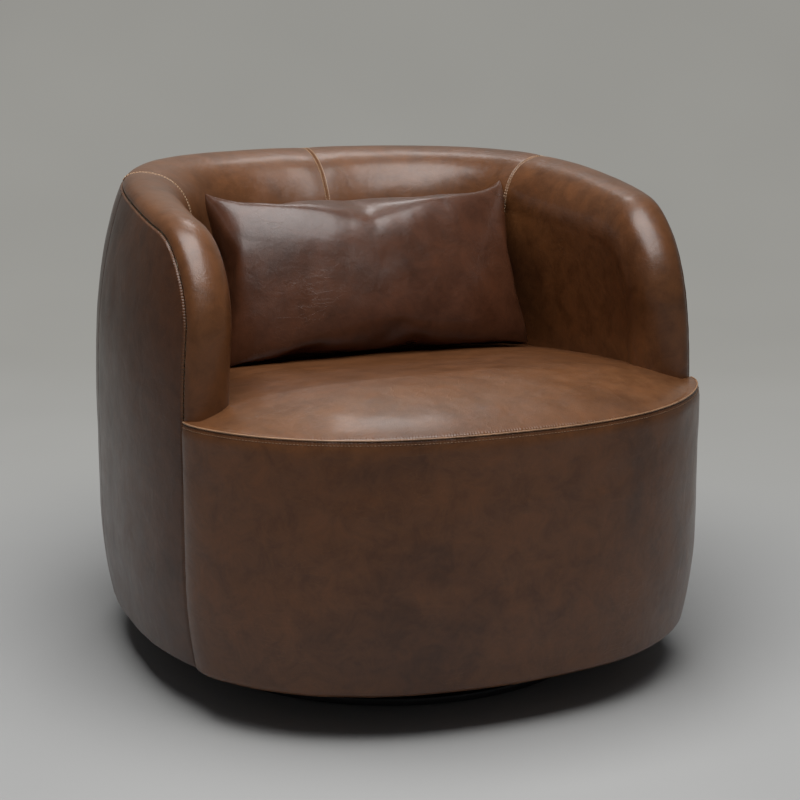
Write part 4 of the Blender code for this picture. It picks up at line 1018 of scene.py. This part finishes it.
def front_border():
    stops = border_stops(BORDER_STEPS)
    top = SEAT_SEAM_Z - NEAR_SEAM[-1]
    levels = np.concatenate([np.linspace(BODY_FOOT, FOOT_TURN_TOP, FOOT_ROWS)[:-1],
                             np.linspace(FOOT_TURN_TOP, top, 60)[:-1],
                             SEAT_SEAM_Z - np.array(NEAR_SEAM[::-1])])
    points = border_grid(stops, levels, 0.0)
    made = panel("front_border", [(points, True)],
                 [(points[:, 0], BORDER_END_KIND), (points[:, -1], BORDER_END_KIND),
                  (points[-1], SEAT_KIND)], wear=border_wear, waves=BORDER_WAVES)
    stitch_seam("stitches_front_border", made, points[-7], dark_thread)


SEAT_NARROWING = 0.35
SEAT_RINGS_START = 0.955
SEAT_REAR_SHORT = 0.02
SEAT_WAVES = 1.6
SEAT_WEAR = (0.10, 0.22)
SEAT_WEAR_Y = -0.33
SEAT_WEAR_REACH = 0.10
EDGE_RADIUS = 0.0012
EDGE_PROUD = 0.0003
EDGE_RAISE = 0.0007
SEAT_TUCK = 0.012
SEAT_FOAM_UNDER = 0.005


def seat_height(x, y):
    reach = np.where(y > SEAT_CENTRE_Y, SEAT_BACK_REACH, FRONT_REACH + SEAT_CENTRE_Y)
    across = np.abs(x / SEAT_HALF_WIDTH) ** FRONT_POWER
    along = np.abs((y - SEAT_CENTRE_Y) / reach) ** FRONT_POWER
    share = np.minimum((across + along) ** (1 / FRONT_POWER), 1.0)
    crown = SEAT_CROWN * (1 - share ** SEAT_CROWN_POWER)
    run = np.clip((y - SEAT_DROP_START_Y) / SEAT_DROP_RUN, 0.0, 1.0)
    return SEAT_SEAM_Z + GAP + LEATHER + crown - SEAT_BACK_DROP * run


def seat_outline():
    """Closed plan of the seat top: round the front at the border, round the wall behind."""
    stops = border_stops(BORDER_STEPS)
    front = FRONT.inset(stops, BORDER_TURN + GAP + border_draw(stops))
    end = ARM_END - SEAT_REAR_SHORT
    stops = np.linspace(-end, end, SEAT_REAR_STEPS)
    reach = wall_thickness(stops, np.full_like(stops, SEAT_SEAM_Z)) - SEAT_TUCK
    return front, SHELL.inset(stops, reach)


def seat_rows(shares, under=0.0):
    """Rings of points over the seat, from its edge in to its middle."""
    ring = np.concatenate(seat_outline())
    centre = np.array([0.0, SEAT_CENTRE_Y])
    rows = []
    for share in shares:
        line = centre + (ring - centre) * share
        points = np.concatenate([line, seat_height(line[:, 0], line[:, 1])[:, None] - under], 1)
        rows.append(np.concatenate([points, points[:1]]))
    return rows


def seat_wear(point, normal):
    return SEAT_WEAR[0] + SEAT_WEAR[1] * fading(point[1] - SEAT_WEAR_Y, SEAT_WEAR_REACH)


def seat_top():
    rows = seat_rows([1 - value / SEAT_NARROWING for value in NEAR_SEAM]
                     + list(np.linspace(SEAT_RINGS_START, 0.0, SEAT_RINGS)))
    panel("seat_top", [(rows, True)], [(rows[0][:len(seat_outline()[0])], SEAT_KIND)],
          wear=seat_wear, waves=SEAT_WAVES)


def seam_edge():
    """The folded leather edge that shows between the seat and the front border, in pale leather
    that is partly a painted highlight on the fold.
    """
    stops = border_stops(SEAM_EDGE_STEPS)
    line = FRONT.inset(stops, BORDER_TURN + border_draw(stops) - EDGE_PROUD)
    level = np.full((len(line), 1), SEAT_SEAM_Z + EDGE_RAISE)
    made = tube("leather_seam_edge", np.concatenate([line, level], 1), EDGE_RADIUS)
    finish_piece(made, "chair", (), edge_leather_painted_highlight)


for side in ("left", "right"):
    facing_panel(side)
    inside_back_panel(side)
    outside_arm(side)
outside_back()
front_border()
seat_top()
seam_edge()


# Foam under the leather

CREST_FOAM = 0.0070
FACE_FOAM = 0.0062
FOAM_SHORT = SEAM_GAP / 2 + 0.003
FRONT_FOAM_TOP = 0.3296
FRONT_FOAM_DEPTHS = (0.0050, 0.0266)
FRONT_FOAM_STEPS = 60
FRONT_FOAM_SHORT = 10
FRONT_FOAM_LEVELS = 24
SEAT_FOAM_RINGS = (0.975, 0.97, *np.linspace(SEAT_RINGS_START, 0.0, 30))
SEAT_FOAM_LIFT = 0.0005


def foam_piece(name, node, grids):
    made = new_object(name, *weld(grids))
    finish_piece(made, "chair", [node], foam)
    if name.endswith("left"):
        mirror(made)


def crest_foam(part):
    if part == "back":
        halves = [back_line(TOP_SEAM - FOAM_SHORT, inward, 0.0) for inward in (0.0, LIP)]
        line, lip = (np.concatenate([half, (half * (-1, 1, 1))[-2::-1]]) for half in halves)
    else:
        line, lip = (edge_line(TOP_SEAM + FOAM_SHORT, WALL_FOOT, inward) for inward in (0.0, LIP))
    rows = [on_wall(lip[:, 0], lip[:, 1], CREST_FOAM)] + crest_rows(line, lip, CREST_FOAM)
    grid = np.array(rows + rows[:1])
    caps = []
    for column in (0, -1):
        middle = np.broadcast_to(grid[:-1, column].mean(0), grid[:, column].shape)
        caps.append((np.array([grid[:, column], middle]), column == -1))
    foam_piece(f"foam_crest_{part}", f"roll_foam_{part}", [(grid, True)] + caps)


def face_foam(part):
    if part == "back":
        half = back_grid(TOP_SEAM - FOAM_SHORT, WALL_FOOT, LIP + SEAM_GAP, 0.0)
        places = np.concatenate([half, (half * (-1, 1))[:, -2::-1]], 1)
    else:
        places = arm_grid(TOP_SEAM + FOAM_SHORT, WALL_FOOT, LIP + SEAM_GAP)
    back = on_wall(places[..., 0], places[..., 1], np.full_like(places[..., 1], FRAME_DEPTH + GAP))
    grids = block_grids(inner_face(places, FACE_FOAM), back)
    foam_piece(f"foam_face_{part}", f"inner_pad_{part}", grids)


def block_grids(outer, inner):
    """The six faces of a block between two grids of points."""
    both = np.array([outer, inner])
    return [(outer, True), (inner, False), (both[:, 0], False), (both[:, -1], True),
            (both[:, :, 0], True), (both[:, :, -1], False)]


def front_foam():
    stops = border_stops(FRONT_FOAM_STEPS)[FRONT_FOAM_SHORT:-FRONT_FOAM_SHORT]
    levels = np.linspace(LINER_FOOT, FRONT_FOAM_TOP, FRONT_FOAM_LEVELS)
    faces = [border_grid(stops, levels, depth) for depth in FRONT_FOAM_DEPTHS]
    foam_piece("foam_front", "front_foam", block_grids(*faces))


def seat_foam():
    rows = seat_rows(SEAT_FOAM_RINGS, SEAT_FOAM_UNDER)
    foot = rows[0].copy()
    foot[:, 2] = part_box("seat_foam")[0][2] + SEAT_FOAM_LIFT
    middle = np.broadcast_to(foot.mean(0), foot.shape)
    foam_piece("foam_seat", "seat_foam", [([middle, foot] + rows, True)])


for part in ("left", "back", "right"):
    crest_foam(part)
    face_foam(part)
front_foam()
seat_foam()


# Lumbar pillow

PILLOW_ROWS = 56
PILLOW_COLUMNS = 96
START_THICK = 0.74
START_DRAW = 0.009
START_SAG = (0.004, 0.014)
CLOTH_FRAMES = 20
CLOTH_SETTINGS = {"quality": 6, "mass": 0.4, "tension_stiffness": 40.0,
                  "compression_stiffness": 40.0, "shear_stiffness": 12.0,
                  "bending_stiffness": 3.0, "use_pressure": True,
                  "uniform_pressure_force": 4.0}
CLOTH_REACH = 0.015
CORNER_BLUNT = 0.020
CLOTH_SMOOTHING = 9
SMOOTHED_ENDS = 3
CRISP_ENDS = 0.205
SEAT_CLEAR = 0.0022
PILLOW_BELLY = 0.026
BELLY_TOP = 0.6
PILLOW_UNDULATION = (41.0, 0.0026, 0.0009)
PILLOW_RATE = 9.0
PILLOW_WEAR = (0.05, 0.06)
START_UNEVEN = 0.002
SHEET_TURN = 1.45


def pillow_sheet(thick, draw):
    """Pillow in its own frame: x across, y its thickness, z up its face."""
    v = np.linspace(-1.0, 1.0, PILLOW_ROWS + 1)
    u = np.linspace(-1.0, 1.0, PILLOW_COLUMNS + 1)
    v, u = (np.sin(value * SHEET_TURN) / math.sin(SHEET_TURN)
            for value in np.meshgrid(v, u, indexing="ij"))
    blunt = 1 - CORNER_BLUNT * (u * v) ** 8
    grids = []
    for side in (-1, 1):
        x = u * blunt * (PILLOW_WIDTH / 2 - draw * (1 - v ** 2))
        sag = np.where(v < 0, START_SAG[0], START_SAG[1]) * (1 - u ** 6)
        z = v * blunt * (PILLOW_HEIGHT / 2 - sag) + PILLOW_HEIGHT / 2
        fill = np.maximum((1 - u ** 4) * (1 - v ** 4), 0.0) ** PILLOW_FILL
        grids.append((np.stack([x, side * thick / 2 * fill, z], -1), side > 0))
    return weld(grids)


def blown_up(made):
    """Blow a closed leather cover up by cloth simulation and keep the result."""
    modifier = made.modifiers.new("cloth", "CLOTH")
    for name, value in CLOTH_SETTINGS.items():
        setattr(modifier.settings, name, value)
    modifier.settings.effector_weights.gravity = 0.0
    modifier.point_cache.frame_end = CLOTH_FRAMES
    scene = bpy.context.scene
    for number in range(1, CLOTH_FRAMES + 1):
        scene.frame_set(number)
    places = coordinates(made.evaluated_get(bpy.context.evaluated_depsgraph_get()))
    made.modifiers.remove(modifier)
    scene.frame_set(1)
    before = coordinates(made)
    step = places - before
    size = np.linalg.norm(step, axis=1)[:, None]
    put_back(made, before + step * np.minimum(1.0, CLOTH_REACH / np.maximum(size, 1e-6)))
    work = bmesh.new()
    work.from_mesh(made.data)
    for turn in range(CLOTH_SMOOTHING):
        soft = [vert for vert in work.verts if turn < SMOOTHED_ENDS or abs(vert.co.x) < CRISP_ENDS]
        bmesh.ops.smooth_vert(work, verts=soft, factor=0.5,
                              use_axis_x=True, use_axis_y=True, use_axis_z=True)
    work.to_mesh(made.data)
    work.free()


def smoother(made):
    """Keep one level of subdivision in the mesh."""
    modifier = made.modifiers.new("smoother", "SUBSURF")
    modifier.levels = 1
    shaped = made.evaluated_get(bpy.context.evaluated_depsgraph_get())
    mesh = bpy.data.meshes.new_from_object(shaped)
    made.modifiers.remove(modifier)
    made.data = mesh
    mesh.shade_smooth()


def lumbar_pillow():
    start = (PILLOW_THICK * START_THICK, START_DRAW)
    made = new_object("leather_lumbar_pillow", *pillow_sheet(*start))
    places = coordinates(made)
    for number, point in enumerate(places):
        places[number, 1] += START_UNEVEN * noise.noise(Vector(point) * PILLOW_RATE)
    put_back(made, places)
    blown_up(made)
    smoother(made)
    places = coordinates(made)
    low, high = places.min(0), places.max(0)
    size = np.array((PILLOW_WIDTH, PILLOW_THICK, PILLOW_HEIGHT))
    places = (places - (low + high) / 2) * (size / (high - low))
    places[:, 2] += PILLOW_HEIGHT / 2
    normals = normals_of(made)
    lean = np.array(Matrix.Rotation(PILLOW_LEAN, 3, "X"))
    for number, point in enumerate(places):
        places[number] = point + normals[number] * undulate(point, *PILLOW_UNDULATION)
    low_share = np.maximum(1 - places[:, 2] / (BELLY_TOP * PILLOW_HEIGHT), 0.0)
    places[:, 2] -= PILLOW_BELLY * low_share * np.abs(places[:, 1]) / (PILLOW_THICK / 2)
    turned = places @ lean.T + np.array(PILLOW_PLACE)
    floor = seat_height(turned[:, 0], turned[:, 1]) + SEAT_CLEAR
    turned[:, 2] = np.maximum(turned[:, 2], floor)
    put_back(made, turned)
    wear = [PILLOW_WEAR[0] + PILLOW_WEAR[1] * noise.noise(Vector(point) * PILLOW_RATE)
            for point in places]
    store(made, "wear", np.array(wear, np.float32))
    finish_piece(made, "pillow", ["lumbar_pillow"], pillow_leather)


lumbar_pillow()


# Stage, light and camera


def camera():
    data = bpy.data.cameras.new("camera")
    data.lens = CAMERA_LENS
    data.sensor_width = 36.0
    made = bpy.data.objects.new("camera", data)
    turn = Matrix((CAMERA_RIGHT, CAMERA_UP, CAMERA_BACK)).transposed()
    made.matrix_world = Matrix.Translation(CAMERA_PLACE) @ turn.to_4x4()
    bpy.context.scene.collection.objects.link(made)
    bpy.context.scene.camera = made


def stage():
    """Floor curving up into a backdrop: lit by the lamps round the chair; beyond, it glows for
    camera and glossy rays with a painted light falloff, darker far off, up and to the sides.
    """
    made, tree, shader, place = new_material("studio_floor", 0.9)
    axis = Vector(CAMERA_BACK).xy.normalized() * -1
    cross = Vector((axis.y, -axis.x))
    slant = (axis.x + STAGE_SKEW * axis.y, axis.y - STAGE_SKEW * axis.x, STAGE_CLIMB)
    depth, beside = (node(tree, "VectorMath", {0: place, 1: line}, "Value",
                          operation="DOT_PRODUCT") for line in (slant, (cross.x, cross.y, 0.0)))
    # Painted light falloff: darker with distance and height, darker towards the sides and front.
    painted_falloff_tones = ramp(tree, spread(tree, depth, *STAGE_DEPTH), STAGE_PAINTED_FALLOFF)
    painted_shade_fades = [spread(tree, value, *run, kind="SMOOTHSTEP")
             for value, run in ((maths(tree, "ABSOLUTE", beside), SIDE_FADE),
                                (maths(tree, "MULTIPLY", depth, -1.0), FRONT_FADE))]
    edge = grey_ramp(tree, maths(tree, "MAXIMUM", *painted_shade_fades), (0.0, 1.0), (1.0, STAGE_EDGE_PAINTED_SHADE))
    painted_falloff_tones = mixed(tree, "MULTIPLY", 1.0, painted_falloff_tones, edge)
    cloudy = grey_ramp(tree, noise_of(tree, place, 1.3, 2.0, 0.5), (0.3, 0.97), (0.7, 1.02))
    tree.links.new(mixed(tree, "MULTIPLY", 1.0, FLOOR_TONE, cloudy), shader.inputs["Base Color"])
    shader.inputs["Specular IOR Level"].default_value = FLOOR_SPECULAR
    away = node(tree, "VectorMath", {0: place}, "Value", operation="LENGTH")
    blend = spread(tree, away, *LIT_FLOOR, kind="SMOOTHSTEP")
    path = tree.nodes.new("ShaderNodeLightPath")
    seen = path.outputs["Is Camera Ray"]
    for kind in ("Is Glossy Ray", "Is Transmission Ray"):
        seen = maths(tree, "MAXIMUM", seen, path.outputs[kind])
    # Beyond the lit floor the backdrop glows with the painted falloff.
    painted_falloff_glow = node(tree, "Emission", {"Color": mixed(tree, "MULTIPLY", 1.0, painted_falloff_tones, cloudy)})
    both = node(tree, "MixShader", {0: maths(tree, "MULTIPLY", blend, seen),
                                    1: shader.outputs["BSDF"], 2: painted_falloff_glow})
    tree.links.new(both, tree.nodes["Material Output"].inputs["Surface"])
    bend = [(STAGE_BEND + STAGE_RADIUS * math.sin(turn),
             STAGE_RADIUS - STAGE_RADIUS * math.cos(turn))
            for turn in np.linspace(BEND_START, math.pi / 2, BEND_STEPS)]
    section = [(STAGE_FRONT, 0.0), (STAGE_BEND, 0.0), *bend,
               (STAGE_BEND + STAGE_RADIUS, STAGE_HEIGHT)]
    grid = [[(axis.x * far + cross.x * wide, axis.y * far + cross.y * wide, high)
             for far, high in section] for wide in (-STAGE_HALF_WIDTH, STAGE_HALF_WIDTH)]
    made_floor = new_object("studio_floor", *weld([(np.array(grid), False)]))
    made_floor.data.materials.append(made)


def area(name, place, target, size, power):
    data = bpy.data.lights.new(name, "AREA")
    data.shape = "RECTANGLE"
    data.size, data.size_y = size
    data.energy = power
    made = bpy.data.objects.new(name, data)
    made.location = place
    made.rotation_euler = (Vector(target) - Vector(place)).to_track_quat("-Z", "Y").to_euler()
    made.visible_camera = False
    bpy.context.scene.collection.objects.link(made)


def lights():
    world = bpy.data.worlds.new("studio")
    bpy.context.scene.world = world
    world.use_nodes = True
    back = world.node_tree.nodes["Background"]
    back.inputs["Color"].default_value = WORLD_TONE
    back.inputs["Strength"].default_value = WORLD_STRENGTH
    for lamp in LAMPS:
        area(*lamp)


camera()
stage()
lights()
bpy.context.scene.view_settings.view_transform = "Standard"
